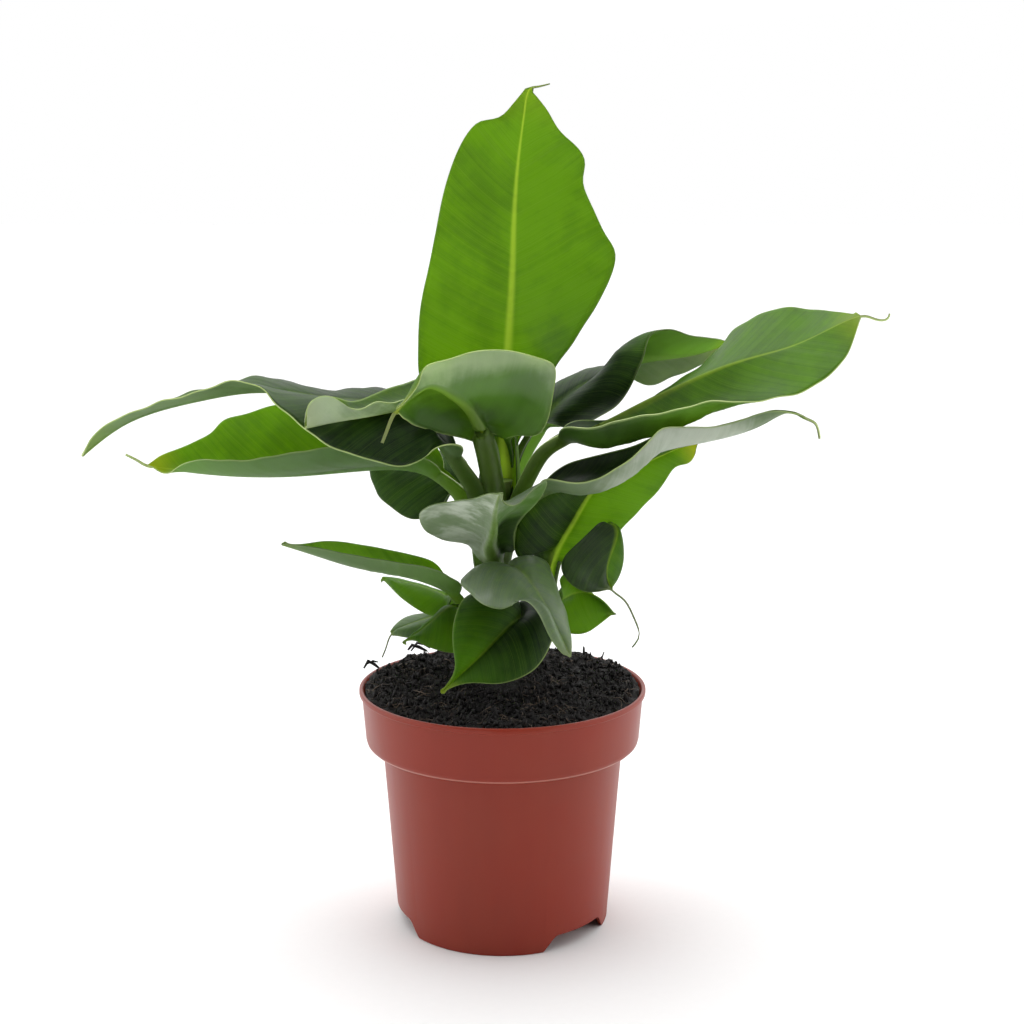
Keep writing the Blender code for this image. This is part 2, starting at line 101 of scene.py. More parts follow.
# Leaves
LEAF_ROWS = 96
LEAF_ACROSS = 18  # columns on each side of the midrib
SHEATH_ROWS = 26
TAIL_ROWS = 14
THIN = 0.45
GROOVE = 0.21  # depth of the groove over the rib, as a part of the rib
RIB_AT_STALK = 3.0
RIB_AT_TIP = 0.4
STALK_LIFT = 38.0
STALK_CURL = -34.0
TAIL_HALF = 0.42
VEIN_ADVANCE = 0.8  # a side vein runs forward by this for each millimetre outwards
EDGE_WIDE = 0.4
STEM_ROWS = 70
STEM_SIDES = 56
STEM_START = 96.0
STEM_INSET = 0.9  # the sheaths' wraps come on top of this
STEM_FOOT = 20.0  # how far a stem goes down into the soil
SHEATH_EDGES = ((0.6, 30.0, 0.5), (2.9, -38.0, 0.45), (4.6, 46.0, 0.4))  # turn, climb, depth
BASE_BLEND = 0.12  # a share of the blade, as TIP_BLEND
TIP_BLEND = 0.03

STEMS = {
    "stem": dict(path=[(2, 18, 96), (-2, 15, 125), (-4, 12, 150), (-4, 8, 170), (-1, 6, 187)],
                 radii=(7.0, 6.0)),
    "shoot_left": dict(path=[(-11, 26, 97), (-14, 23, 114), (-17, 19, 130)], radii=(4.0, 3.0)),
    "shoot_right": dict(path=[(11, 32, 97), (16, 25, 118), (19, 19, 133)], radii=(4.0, 3.0)),
}

# Light: the world is dark behind the camera and bright to the sides, above and at the horizon. Each
# range is a part of the direction's X, Y or Z over which the light comes up or goes down.
FRONT_RANGE = (-0.75, 0.1)
FRONT_LEVEL = 0.07
ZENITH_TILT = 0.55
ZENITH_RANGE = (0.3, 0.95)
ZENITH_LEVEL = 1.85
SIDE_RANGE = (0.6, 0.9)
SIDE_LEVEL = 2.3
HORIZON_RANGE = (0.03, 0.1)
LAMP_PLACE = (-0.25, 0.35, 1.15)  # metres, as the rest of this block
LAMP_AIM = (0, 0, 0.17)
LAMP_SIZE = 0.8
LAMP_POWER = 3.5
FLOOR_SIZE = 40.0
FLOOR_WHITE = (0.84, 0.86)


def half(width, lifts, shares=None, widest=0.4, curl=(0,)):
    """One half of a blade. lifts are degrees over the leaf's plane and shares are parts of the
    width, both spread evenly from the blade's base to its tip. curl bends the half across."""
    return dict(width=width, lifts=lifts, shares=shares, widest=widest, curl=curl)


# Each leaf: path is its middle line from the stem to the tip, blade is where the blade starts and
# ends along it, face is the way its upper side looks, and left is the half on the left of someone
# who stands on that side and looks towards the tip.
LEAVES = {
    "leaf_top": dict(
        path=[(0, 8, 183), (1, 10, 203), (2, 14, 240), (4, 18, 269), (5, 21, 297), (7, 22, 321),
              (9, 21, 336), (11, 19, 345), (14, 17, 346), (19, 15, 347)],
        blade=(0.12, 0.955), face=(0, -1, 0.1), stalk=5.6, on="stem",
        left=half(37, (8, 8, 8, 8, 8), shares=(0, 0.8, 0.98, 1, 0.98, 0.93, 0.87, 0.78, 0.66, 0.42, 0)),
        right=half(43, (35, 30, 15, 10, 8, 5), curl=(-80, -65, -20, 5, 5, 0),
                   shares=(0, 0.3, 0.53, 0.73, 0.89, 0.97, 0.87, 0.68, 0.62, 0.33, 0))),
    "leaf_front_cup": dict(
        path=[(-2, 3, 178), (-4, -3, 188), (-7, -8, 204), (-12, -13, 218), (-20, -21, 226),
              (-28, -27, 230), (-34, -31, 227), (-39, -34, 223), (-42, -36, 219), (-44, -37, 214),
              (-46, -37, 209)],
        blade=(0.32, 0.88), face=(0.1, 1, 0.35), stalk=4.0, on="stem",
        left=half(40, (10, 5, 10, 35, 50), shares=(0.08, 0.5, 0.9, 0.47, 0.17, 0.07, 0)),
        right=half(19, (10, 10, 10, 15, 20))),
    "leaf_front_left": dict(
        path=[(-3, 5, 183), (-5, 2, 200), (-13, 1, 216), (-29, -4, 221), (-47, -15, 219),
              (-62, -26, 217), (-76, -36, 215)],
        blade=(0.34, 1), face=(0, 0, 1), stalk=3.5, on="stem",
        left=half(11, (10, 10, 15, 20, 20)),
        right=half(13, (35, 35, 30, 28, 20))),
    "leaf_left_long": dict(
        path=[(-6, 4, 175), (-11, -1, 183), (-16, -5, 193), (-23, -7, 204), (-35, -6, 216),
              (-49, -4, 221), (-72, -3, 223), (-96, -4, 226), (-121, -10, 223), (-148, -18, 215),
              (-166, -24, 202)],
        blade=(0.15, 1), face=(0, 0, 1), stalk=4.0, on="stem",
        left=half(31, (-40, -55, -30, 8, 18, 20, 20)),
        right=half(24, (0, -5, -10, -10, 0))),
    "leaf_left_lower": dict(
        path=[(-6, 7, 164), (-13, 5, 173), (-20, 3, 185), (-30, 4, 192), (-46, 6, 194), (-84, 8, 190),
              (-117, 6, 190), (-135, 4, 192), (-146, 2, 194), (-149, 1, 196), (-154, 0, 199)],
        blade=(0.2, 0.94), face=(0, 0, 1), stalk=4.0, on="stem",
        left=half(25, (30, 32, 32, 28, 20)),
        right=half(26, (60, 70, 75, 70, 60))),
    "leaf_left_dark": dict(
        path=[(-6, 10, 167), (-14, 16, 177), (-22, 19, 186), (-32, 24, 190), (-44, 32, 191),
              (-56, 40, 191)],
        blade=(0.3, 1), face=(0, 0, 1), stalk=3.0, on="stem",
        left=half(27, (-70, -70, -70, -65, -60), widest=0.5),
        right=half(22, (10, 10, 10, 0, 0), widest=0.5)),
    "leaf_front_grey": dict(
        path=[(-4, 9, 147), (-4, 2, 153), (-5, -6, 161), (-4, -20, 169), (-3, -36, 178), (-2, -51, 187),
              (0, -62, 194)],
        blade=(0.14, 1), face=(0, 0.6, 0.8), stalk=3.5, on="stem",
        left=half(19, (0, 5, 15, 25, 30), shares=(0.3, 0.5, 0.7, 0.9, 1, 0.8, 0)),
        right=half(31, (10, 5, 0, -5, -8), shares=(0.3, 0.8, 1, 1, 0.9, 0.7, 0))),
    "leaf_right_dark": dict(
        path=[(2, 13, 179), (7, 15, 193), (13, 17, 204), (24, 22, 218), (41, 28, 228), (59, 34, 234),
              (81, 42, 236), (97, 50, 240)],
        blade=(0.24, 1), face=(0, 0, 1), stalk=4.0, on="stem",
        left=half(20, (5, 5, 0, -20, -45, -60, -60), widest=0.5),
        right=half(23, (-70, -72, -65, -20, 45, 35, 30), widest=0.5)),
    "leaf_right_big": dict(
        path=[(3, 6, 180), (10, 2, 188), (14, 0, 196), (20, -2, 203), (38, -5, 212), (55, -8, 221),
              (71, -11, 229), (87, -14, 236), (102, -17, 241), (119, -20, 247), (140, -24, 257),
              (145, -25, 256), (149, -26, 256), (150, -26, 258)],
        blade=(0.2, 0.93), face=(0, 0, 1), stalk=4.0, on="stem",
        left=half(29, (-15, -20, -10, 15, 30, 30, 30), widest=0.6),
        right=half(29, (-10, -15, -20, -30, -30), widest=0.6, curl=(-30, -50, -55, -30, 0))),
    "leaf_right_narrow": dict(
        path=[(2, 2, 171), (8, -4, 178), (15, -7, 185), (27, -10, 189), (39, -13, 192), (57, -17, 202),
              (78, -22, 208), (101, -27, 215), (112, -30, 220.5), (118, -31, 218), (122, -32, 216),
              (124, -32, 210)],
        blade=(0.16, 0.93), face=(0, 0, 1), stalk=3.5, on="stem",
        left=half(14, (40, 45, 45, 45, 40), widest=0.3, curl=(-25,)),
        right=half(20, (0, 5, 30, 45, 40), widest=0.3)),
    "leaf_right_lower": dict(
        path=[(19, 22, 132), (21, 17, 150), (30, 11, 169), (40, 6, 185), (56, 1, 194), (70, -3, 201),
              (79, -6, 205)],
        blade=(0.2, 1), face=(0.1, -0.9, 0.45), stalk=3.0, on="shoot_right",
        left=half(20, (15,), shares=(0.5, 1, 0.95, 0.6, 0.35, 0.2, 0)),
        right=half(21, (5, 5, 0, 0, 0))),
    "leaf_right_hanging": dict(
        path=[(20, 18, 127), (28, 13, 140), (35, 5, 154), (41, -3, 167), (44, -10, 172), (46, -16, 170),
              (44, -21, 163), (42, -23, 155), (44, -24, 148), (49, -25, 144), (53, -26, 137),
              (55, -27, 130), (52, -28, 125)],
        blade=(0.46, 0.77), face=(0, -0.3, 1), stalk=2.5, on="shoot_right",
        left=half(8, (-20,), shares=(0, 0.4, 0.5, 0.7, 1, 0.9, 0)),
        right=half(19, (-10,), shares=(0.15, 0.35, 0.55, 0.8, 1, 0.9, 0))),
    "leaf_low_front": dict(
        path=[(-1, 10, 136), (0, 0, 145), (2, -12, 154), (7, -24, 156), (14, -36, 150), (21, -43, 138),
              (27, -46, 126)],
        blade=(0.25, 1), face=(0, -0.6, 0.8), stalk=2.5, on="stem",
        left=half(16, (10, 0, -10, -20, -20), widest=0.35),
        right=half(24, (0, 0, 10, 10, 0), shares=(0.3, 1, 0.85, 0.6, 0.5, 0.35, 0))),
    "leaf_low_right": dict(
        path=[(17, 21, 116), (21, 10, 129), (27, 0, 139), (34, -8, 143), (41, -14, 141),
              (46, -18, 136)],
        blade=(0.42, 1), face=(0, 0, 1), stalk=2.5, on="shoot_right",
        left=half(9, (40,), shares=(0.3, 0.6, 1, 1, 0.8, 0.5, 0)),
        right=half(20, (-65, -70, -70, -65, -60))),
    "leaf_heart": dict(
        path=[(1, 14, 116), (5, 2, 126), (8, -7, 132), (3, -19, 131), (-5, -28, 125), (-13, -36, 119),
              (-24, -42, 110)],
        blade=(0.25, 1), face=(-0.2, -0.8, 0.6), stalk=2.5, on="stem", lobe=8.0,
        left=half(20, (10, 10, 5, 5, 5)),
        right=half(19, (10, 10, 10, 5, 5))),
    "leaf_low_left_long": dict(
        path=[(-17, 19, 128), (-20, 11, 137), (-28, 4, 144), (-42, -4, 150), (-58, -10, 154),
              (-74, -16, 160), (-88, -22, 166)],
        blade=(0.14, 1), face=(0, 0, 1), stalk=2.0, on="shoot_left",
        left=half(15, (40,), widest=0.45),
        right=half(15, (50, 50, 50, 50, 45), widest=0.45)),
    "leaf_low_left_bright": dict(
        path=[(-17, 21, 127), (-23, 22, 133), (-31, 19, 138), (-42, 18, 141), (-52, 18, 142)],
        blade=(0.25, 1), face=(0, 0, 1), stalk=2.0, on="shoot_left",
        left=half(14, (-50, -60, -60, -60, -50), widest=0.5),
        right=half(12, (0,), widest=0.5)),
    "leaf_low_left_small": dict(
        path=[(-15, 23, 117), (-22, 27, 124), (-32, 28, 123), (-43, 28, 119), (-49, 28, 115),
              (-51, 28, 110), (-53, 28, 105)],
        blade=(0.35, 0.78), face=(0, 0, 1), stalk=1.5, on="shoot_left",
        left=half(9, (-50,), widest=0.45),
        right=half(9, (10,), widest=0.45)),
    "leaf_low_left_brown": dict(
        path=[(-16, 19, 123), (-20, 8, 133), (-26, -1, 132), (-33, -7, 127), (-41, -11, 122)],
        blade=(0.25, 1), face=(0, -0.7, 0.7), stalk=2.0, on="shoot_left",
        left=half(17, (-10,), widest=0.45),
        right=half(5, (0,), widest=0.45)),
}

# Where each blade's margins run, from the blade's base to its tip. A point is a column and a row
# of the photograph, where the margin is seen there, and its Y in millimetres, from how the blade
# is foreshortened. left and right are as in half(). sag bends each half between midrib and margin,
# in millimetres, upwards where it is positive.
EDGES = {
    "leaf_top": dict(
        left=[(494, 520, 12), (490, 455, 10), (462, 420, 7), (424, 388, 7), (418, 350, 8),
            (420, 310, 10), (428, 270, 13), (439, 214, 16), (447, 180, 18), (458, 150, 19),
            (469, 131, 20), (481, 121, 20), (499, 117, 21), (511, 106, 21), (520, 96, 20),
            (530, 88, 19)],
        right=[(510, 520, 10), (514, 455, 8), (534, 410, 3), (553, 372, -2), (572, 342, -1),
            (590, 316, 3), (602, 296, 6), (611, 276, 8), (615, 252, 9), (606, 235, 11), (592, 206, 15),
            (583, 180, 18), (585, 162, 18), (576, 146, 18), (560, 131, 19), (549, 113, 19),
            (541, 102, 19), (530, 88, 19)],
        sag=((0,), (-4, -7, -6, -3, 0, 0, 0, 0, 0))),
    "leaf_front_cup": dict(
        left=[(498, 446, 0), (512, 436, -5), (525, 436, -8), (539, 434, -10), (549, 416, -12),
            (554, 390, -15), (555, 367, -18), (541, 358, -22), (512, 350, -26), (490, 350, -28),
            (470, 353, -29), (445, 360, -30), (425, 367, -32), (419, 382, -34), (409, 397, -36),
            (397, 410, -36)],
        right=[(482, 446, -2), (468, 440, -4), (446, 435, -9), (428, 430, -14), (411, 424, -20),
            (398, 413, -35)],
        sag=((3, 3, 2, 2, 0), (3, 4, 4, 2))),
    "leaf_front_left": dict(
        left=[(452, 402, -7), (430, 401, -12), (405, 399, -18), (392, 402, -22), (377, 402, -26),
            (363, 408, -29), (351, 408, -31), (341, 402, -33), (333, 397, -34), (321, 396, -35),
            (311, 402, -36), (306, 412, -37)],
        right=[(446, 382, 6), (425, 377, 5), (405, 383, 2), (386, 389, -2), (370, 396, -6),
            (357, 400, -11), (345, 400, -16), (335, 397, -22), (322, 397, -28), (312, 402, -33),
            (306, 412, -36)],
        sag=((-2,), (-2,))),
    "leaf_left_long": dict(
        left=[(466, 449, -16), (448, 447, -20), (430, 455, -24), (405, 466, -26), (380, 463, -27),
            (345, 452, -29), (320, 440, -31), (300, 425, -33), (282, 408, -34), (266, 391, -34),
            (248, 383, -33), (220, 383, -33), (182, 396, -33), (150, 405, -32), (125, 414, -31),
            (100, 429, -28), (84, 446, -25)],
        right=[(439, 421, 9), (404, 398, 16), (386, 390, 18), (368, 387, 19), (345, 389, 20),
            (324, 393, 20), (300, 385, 20), (280, 379, 18), (262, 377, 16), (240, 379, 12),
            (200, 390, 6), (165, 400, 0), (140, 410, -4), (110, 426, -12), (85, 449, -23)],
        sag=((3, 4, 4, 2, 0, 0, 0), (2, 2, 1, 0, 0))),
    "leaf_left_lower": dict(
        left=[(415, 462, -6), (400, 455, -9), (370, 450, -12), (330, 447, -13), (290, 453, -12),
            (250, 459, -11), (215, 460, -9), (190, 461, -5), (176, 468, -1), (165, 473, 2),
            (152, 467, 2)],
        right=[(424, 428, 13), (382, 410, 16), (350, 404, 17), (320, 402, 17), (290, 404, 17),
            (270, 406, 17), (245, 414, 16), (224, 420, 15), (213, 431, 13), (200, 439, 12),
            (180, 448, 9), (162, 455, 5), (150, 463, 2)],
        sag=((-2, -3, -3, -2, 0), (-3, -4, -3, -2, 0))),
    "leaf_left_dark": dict(
        left=[(456, 500, 9), (438, 512, 12), (424, 518, 15), (413, 519, 18), (400, 514, 22),
            (388, 505, 26), (378, 496, 30), (373, 485, 33), (370, 474, 37), (371, 464, 40)],
        right=[(470, 470, 30), (461, 455, 40), (447, 449, 45), (428, 454, 48), (400, 456, 47),
            (375, 459, 41)],
        sag=((3,), (2,))),
    "leaf_front_grey": dict(
        left=[(503, 560, 0), (513, 555, -4), (515, 541, -10), (518, 524, -18), (528, 511, -26),
            (538, 500, -34), (547, 482, -42), (537, 486, -48), (527, 496, -52), (518, 504, -55),
            (508, 505, -58), (500, 497, -61)],
        right=[(486, 549, -2), (467, 544, -5), (445, 540, -9), (430, 533, -16), (421, 524, -24),
            (420, 513, -32), (430, 506, -40), (448, 500, -46), (470, 499, -52), (489, 493, -57),
            (498, 494, -61)],
        sag=((3, 3, 1, 0), (2, 3, 2, 0))),
    "leaf_right_dark": dict(
        left=[(536, 404, 30), (552, 387, 39), (575, 374, 44), (600, 366, 48), (622, 372, 50),
            (645, 384, 50), (668, 378, 50), (690, 370, 51), (710, 358, 51), (726, 344, 50)],
        right=[(548, 427, 17), (568, 428, 21), (590, 422, 21), (605, 415, 20), (622, 400, 18),
            (634, 380, 15), (642, 358, 13), (649, 337, 15), (658, 330, 17), (675, 331, 22),
            (700, 336, 29), (715, 338, 36), (726, 341, 47)],
        sag=((3, 2, 0, 0), (6, 9, 10, 8, 2, 0, 0))),
    "leaf_right_big": dict(
        left=[(592, 428, 10), (640, 405, 16), (690, 372, 16), (720, 347, 14), (733, 331, 12),
            (745, 321, 9), (765, 312, 5), (785, 308, 2), (815, 309, -5), (840, 312, -14),
            (860, 315, -23)],
        right=[(580, 432, -16), (600, 425, -22), (650, 414, -30), (690, 406, -36), (722, 400, -38),
            (745, 401, -38), (770, 399, -38), (798, 393, -38), (820, 381, -38), (837, 368, -36),
            (847, 355, -33), (854, 338, -29), (860, 318, -25)],
        sag=((-2, -2, 0, 0, 0), (-6, -12, -12, -11, -8, -3, 0, 0, 0))),
    "leaf_right_narrow": dict(
        left=[(553, 472, -4), (566, 464, -2), (582, 459, -2), (610, 452, -4), (640, 443, -8),
            (665, 432, -11), (690, 430, -15), (720, 425, -19), (753, 416, -24), (775, 410, -27),
            (802, 413, -30)],
        right=[(562, 485, -24), (590, 481, -30), (605, 474, -33), (620, 466, -34), (634, 456, -34),
            (645, 445, -34), (655, 433, -34), (667, 427, -34), (700, 427, -34), (740, 420, -33),
            (770, 411, -32), (802, 414, -31)],
        sag=((-2, -3, -2, 0), (-4, -6, -4, -2, 0))),
    "leaf_right_lower": dict(
        left=[(546, 560, 14), (526, 563, 12), (515, 552, 11), (515, 532, 11), (520, 515, 10),
            (532, 500, 10), (548, 490, 9), (570, 478, 8), (600, 463, 5), (630, 455, 2), (655, 449, -1),
            (680, 447, -4), (694, 446, -6)],
        right=[(566, 560, 14), (588, 560, 10), (604, 551, 8), (620, 531, 5), (635, 515, 3),
            (650, 500, 1), (664, 483, -1), (676, 467, -3), (689, 463, -5), (697, 450, -6)],
        sag=((2, 2, 0), (2, 2, 0))),
    "leaf_right_hanging": dict(
        left=[(612, 522, -9), (619, 530, -13), (623, 540, -18), (624, 555, -21), (622, 570, -22),
            (617, 581, -23), (612, 588, -24)],
        right=[(604, 522, -11), (590, 533, -14), (575, 545, -13), (565, 555, -12), (561, 566, -13),
            (567, 580, -18), (580, 590, -22), (596, 592, -25), (611, 589, -25)],
        sag=((1,), (2,))),
    "leaf_low_front": dict(
        left=[(512, 568, -8), (529, 558, -8), (545, 562, -13), (555, 580, -20), (562, 598, -27),
            (567, 618, -33), (571, 635, -40), (572, 648, -45), (571, 659, -46)],
        right=[(498, 575, -10), (480, 573, -14), (463, 578, -20), (461, 585, -25), (468, 592, -29),
            (477, 600, -33), (487, 606, -36), (502, 609, -38), (515, 603, -41), (525, 601, -43),
            (534, 608, -45), (541, 619, -46), (547, 632, -47), (556, 647, -47), (567, 658, -46)],
        sag=((2, 3, 2, 0), (3, 4, 3, 0))),
    "leaf_low_right": dict(
        left=[(557, 590, 7), (561, 577, 6), (569, 573, 5), (583, 582, 1), (592, 592, -4),
            (600, 601, -9), (607, 608, -13), (613, 613, -17)],
        right=[(553, 610, -3), (556, 622, -7), (563, 630, -10), (572, 634, -13), (585, 633, -14),
            (596, 627, -15), (605, 620, -16), (613, 614, -18)],
        sag=((-1,), (2,))),
    "leaf_heart": dict(
        left=[(528, 602, -2), (545, 604, -2), (556, 617, -8), (555, 632, -18), (549, 649, -28),
            (540, 664, -34), (528, 674, -38), (512, 681, -41), (495, 684, -43), (478, 683, -44),
            (463, 684, -44), (451, 688, -43), (442, 692, -42)],
        right=[(514, 605, -4), (500, 591, -3), (485, 588, -5), (470, 594, -10), (460, 604, -16),
            (455, 618, -22), (452, 635, -28), (453, 650, -33), (455, 664, -37), (452, 676, -40),
            (446, 685, -41), (441, 692, -42)],
        sag=((3, 4, 3, 0), (3, 4, 3, 0))),
    "leaf_low_left_long": dict(
        left=[(463, 590, -1), (450, 577, -4), (430, 568, -9), (410, 564, -13), (390, 561, -17),
            (360, 556, -20), (325, 549, -22), (300, 545, -22), (284, 543, -22)],
        right=[(447, 570, 12), (430, 560, 11), (400, 552, 6), (370, 546, 2), (345, 542, -3),
            (325, 541, -8), (308, 543, -13), (296, 544, -18), (284, 543, -21)],
        sag=((-2, -3, -2, 0), (-2, -2, 0))),
    "leaf_low_left_bright": dict(
        left=[(452, 610, 12), (438, 616, 12), (426, 614, 12), (412, 606, 11), (400, 597, 12),
            (391, 588, 14), (384, 581, 17), (381, 579, 18)],
        right=[(453, 593, 27), (440, 593, 29), (428, 589, 29), (412, 584, 29), (398, 580, 28),
            (388, 578, 25), (381, 578, 19)],
        sag=((2,), (1,))),
    "leaf_low_left_small": dict(
        left=[(434, 628, 23), (424, 636, 23), (412, 638, 23), (402, 637, 24), (396, 636, 26),
            (392, 636, 28)],
        right=[(432, 612, 33), (426, 613, 35), (415, 614, 37), (404, 618, 36), (397, 623, 34),
            (393, 628, 32), (391, 634, 29)],
        sag=((2,), (1,))),
    "leaf_low_left_brown": dict(
        left=[(462, 618, 4), (468, 635, -2), (463, 650, -8), (454, 653, -11), (440, 651, -12),
            (426, 646, -12), (415, 641, -12), (408, 641, -12), (403, 642, -11)],
        right=[(446, 608, 9), (438, 611, 6), (431, 620, 1), (424, 627, -3), (416, 634, -6),
            (409, 638, -9), (403, 641, -11)],
        sag=((2,), (1,))),
}


def looks(tone, sheath, seed, bloom_and_sheen=(0.4,), wax_and_sheen=0.0, rib=0.4, rim=0.25, thin=0.5, gloss=0.4, wave=0.5,
          pleat=0.12, broad=1.15, ripe=0.2, mottle=1.0, outer=0.0, joined=BASE_BLEND):
    """How a leaf looks. tone runs from 0, dark, to 1, bright: partly the leaf's age, older leaves
    darker, and partly painted shade, low on a half or near the stalk where the blade is shaded.
    bloom_and_sheen is the under side: -1 deep green, 0 green, 1 glaucous grey and 2 silver; the
    greys are partly the glaucous coat and partly painted sheen, and deep green is partly painted
    shade. Both go from the blade's base to its tip, in one list or in one for the left half and
    one for the right. wax_and_sheen greys the upper side, as a glaucous coat and, where it is
    strong, as painted sheen. rib and rim are the strengths of the pale midrib and margin, and
    broad is the midrib's width. thin is the share of light let through the under side, gloss the
    strength of the shine. wave and pleat are the heights of the margin's waves and of the fine
    folds, in millimetres. sheath is the length that runs down the stem, and seed makes each
    leaf's waves its own. ripe is how yellow the tip is, mottle how blotched and rumpled the blade,
    outer the painted sheen that the under side gains towards the margins, and joined the share of
    the blade over which it leaves the stalk's form."""
    tone, bloom_and_sheen = (v if isinstance(v[0], tuple) else (v, v) for v in (tone, bloom_and_sheen))
    return dict(tone=tone, bloom_and_sheen=bloom_and_sheen, wax_and_sheen=wax_and_sheen, rib=rib, rim=rim, broad=broad, thin=thin, gloss=gloss,
                wave=wave, pleat=pleat, sheath=sheath, seed=seed, ripe=ripe, mottle=mottle, outer=outer,
                joined=joined)


# Tone lists that differ between halves or rise from the stalk paint shade as well as age; pale grey under
# sides and the upper side's grey coat paint sheen as well as a glaucous coat.
LOOKS = {
    "leaf_top": looks(
        tone=((1.0, 0.95, 0.9, 0.95), (0.9, 0.95, 1.0, 1.0)), bloom_and_sheen=(0.1,), rib=0.9, thin=0.62,
        gloss=0.3, wave=0.7, pleat=0.16, sheath=30, seed=1.0, broad=2.0),
    # Painted sheen: the under side pale grey on its upper part and towards the margin; painted shade:
    # deep green near the stalk.
    "leaf_front_cup": looks(
        tone=(0.8,), bloom_and_sheen=((-1.0, -0.9, 0.6, 1.4, 1.2, 0.6), (-1.0, -1.0, -0.8, 0.0)), rib=0.9,
        rim=1.0, thin=0.55, gloss=0.6, sheath=30, seed=2.3, ripe=0.8, mottle=1.2, outer=1.2, joined=0.05),
    "leaf_front_left": looks(
        tone=(0.7,), bloom_and_sheen=((1.0, 1.6, 1.9, 1.8), (1.0, 1.6, 1.8)), wax_and_sheen=0.35, rib=0.5, rim=0.8,
        gloss=0.6, wave=0.7, sheath=20, seed=3.1, mottle=2.5),
    # Painted shade: tone rises from near black at the stalk, over an older leaf's dark green.
    "leaf_left_long": looks(
        tone=(0.02, 0.08, 0.25, 0.5, 0.6), bloom_and_sheen=((0.3, 0.6, 0.75, 0.6), (0.3, 0.6, 0.7, 0.5)), rim=0.9,
        thin=0.4, gloss=0.25, wave=0.8, pleat=0.2, sheath=26, seed=4.7),
    "leaf_left_lower": looks(
        tone=(0.85, 0.9, 1.0), bloom_and_sheen=(0.2, 0.6, 0.7, 0.5), wax_and_sheen=0.12, rib=0.5, rim=0.6, thin=0.6,
        gloss=0.35, pleat=0.15, sheath=24, seed=5.9, ripe=0.7),
    "leaf_left_dark": looks(
        tone=(0.22,), bloom_and_sheen=(0.3,), rim=0.2, thin=0.2, gloss=0.1, wave=0.4, pleat=0.15, sheath=20,
        seed=6.4),
    "leaf_front_grey": looks(
        tone=(0.15,), bloom_and_sheen=((-0.6, -0.5, 0.5, 1.2), (0.9, 1.3, 1.5)), wax_and_sheen=0.4, rib=0.3, thin=0.12,
        gloss=0.6, wave=0.6, pleat=0.08, sheath=16, seed=7.7, mottle=3.0),
    # Painted shade: tone low on the left half and near the stalk; painted sheen: the under side silver on
    # the left half towards the tip.
    "leaf_right_dark": looks(
        tone=((0.05, 0.1, 0.2, 0.3), (0.0, 0.0, 0.5, 0.7)),
        bloom_and_sheen=((0.3, 0.8, 1.8, 2.0), (0.3, 0.5, 0.6, 0.4)), wax_and_sheen=0.05, rib=0.3, thin=0.9, gloss=0.15,
        wave=0.6, pleat=0.15, sheath=26, seed=8.2),
    # Painted shade: tone and the under side dark near the stalk.
    "leaf_right_big": looks(
        tone=(0.1, 0.5, 0.7, 0.8), bloom_and_sheen=(-0.8, -0.2, 0.1, 0.3), wax_and_sheen=0.06, rib=0.7, rim=0.6, thin=0.6,
        gloss=0.35, wave=0.6, pleat=0.18, sheath=30, seed=9.5, ripe=0.4),
    "leaf_right_narrow": looks(
        tone=(0.0, 0.1, 0.3, 0.6), bloom_and_sheen=((0.6, 1.2, 1.7, 1.8, 0.2), (0.6, 1.4, 1.8, 1.6, 0.2)),
        wax_and_sheen=0.05, rim=0.6, thin=0.3, pleat=0.15, sheath=24, seed=10.3),
    # Painted shade: tone low on the left half.
    "leaf_right_lower": looks(
        tone=((0.1, 0.2, 0.4, 0.9), (0.8, 0.9, 0.95, 1.0)), rib=1.0, thin=0.6, gloss=0.35, pleat=0.15,
        sheath=18, seed=11.6, ripe=1.0),
    # Painted shade: tone low on the right half.
    "leaf_right_hanging": looks(
        tone=((0.8, 0.85, 0.9), (0.1, 0.15, 0.2)), bloom_and_sheen=(0.5,), wax_and_sheen=0.1, rib=0.6, rim=0.3, gloss=0.5,
        wave=0.3, pleat=0.22, sheath=14, seed=12.8),
    # Painted sheen: a strong grey coat on the upper side.
    "leaf_low_front": looks(
        tone=((0.55,), (0.5,)), bloom_and_sheen=(0.6, 1.0), wax_and_sheen=0.85, rib=0.25, rim=0.35, thin=0.4, gloss=0.9,
        wave=0.7, pleat=0.1, sheath=14, seed=13.4, mottle=3.0),
    "leaf_low_right": looks(
        tone=(1.0,), rim=0.4, thin=0.62, wave=0.4, sheath=10, seed=14.1),
    # Painted shadow: tone low on the upper part of the blade, most on the left half, where the leaf above
    # shades it.
    "leaf_heart": looks(
        tone=((0.05, 0.1, 0.3, 0.9), (0.1, 0.35, 0.9, 1.0)), rib=0.45, rim=0.5, gloss=0.15, wave=0.4,
        sheath=10, seed=15.9, ripe=0.6),
    "leaf_low_left_long": looks(
        tone=((0.8,), (0.9,)), bloom_and_sheen=(0.6, 1.1, 1.0), rib=0.5, wave=0.4, sheath=12, seed=16.2),
    "leaf_low_left_bright": looks(
        tone=((0.95,), (1.0,)), wax_and_sheen=0.15, rim=0.4, thin=0.62, gloss=0.5, wave=0.3, pleat=0.1, sheath=10,
        seed=17.5),
    "leaf_low_left_small": looks(
        tone=(0.5,), bloom_and_sheen=(0.6,), wax_and_sheen=0.4, rim=0.3, thin=0.4, gloss=0.5, wave=0.3, pleat=0.1, sheath=8,
        seed=18.7),
    "leaf_low_left_brown": looks(
        tone=((0.85,), (0.75,)), rib=0.3, rim=0.4, thin=0.55, wave=0.3, pleat=0.1, sheath=10, seed=19.3),
}


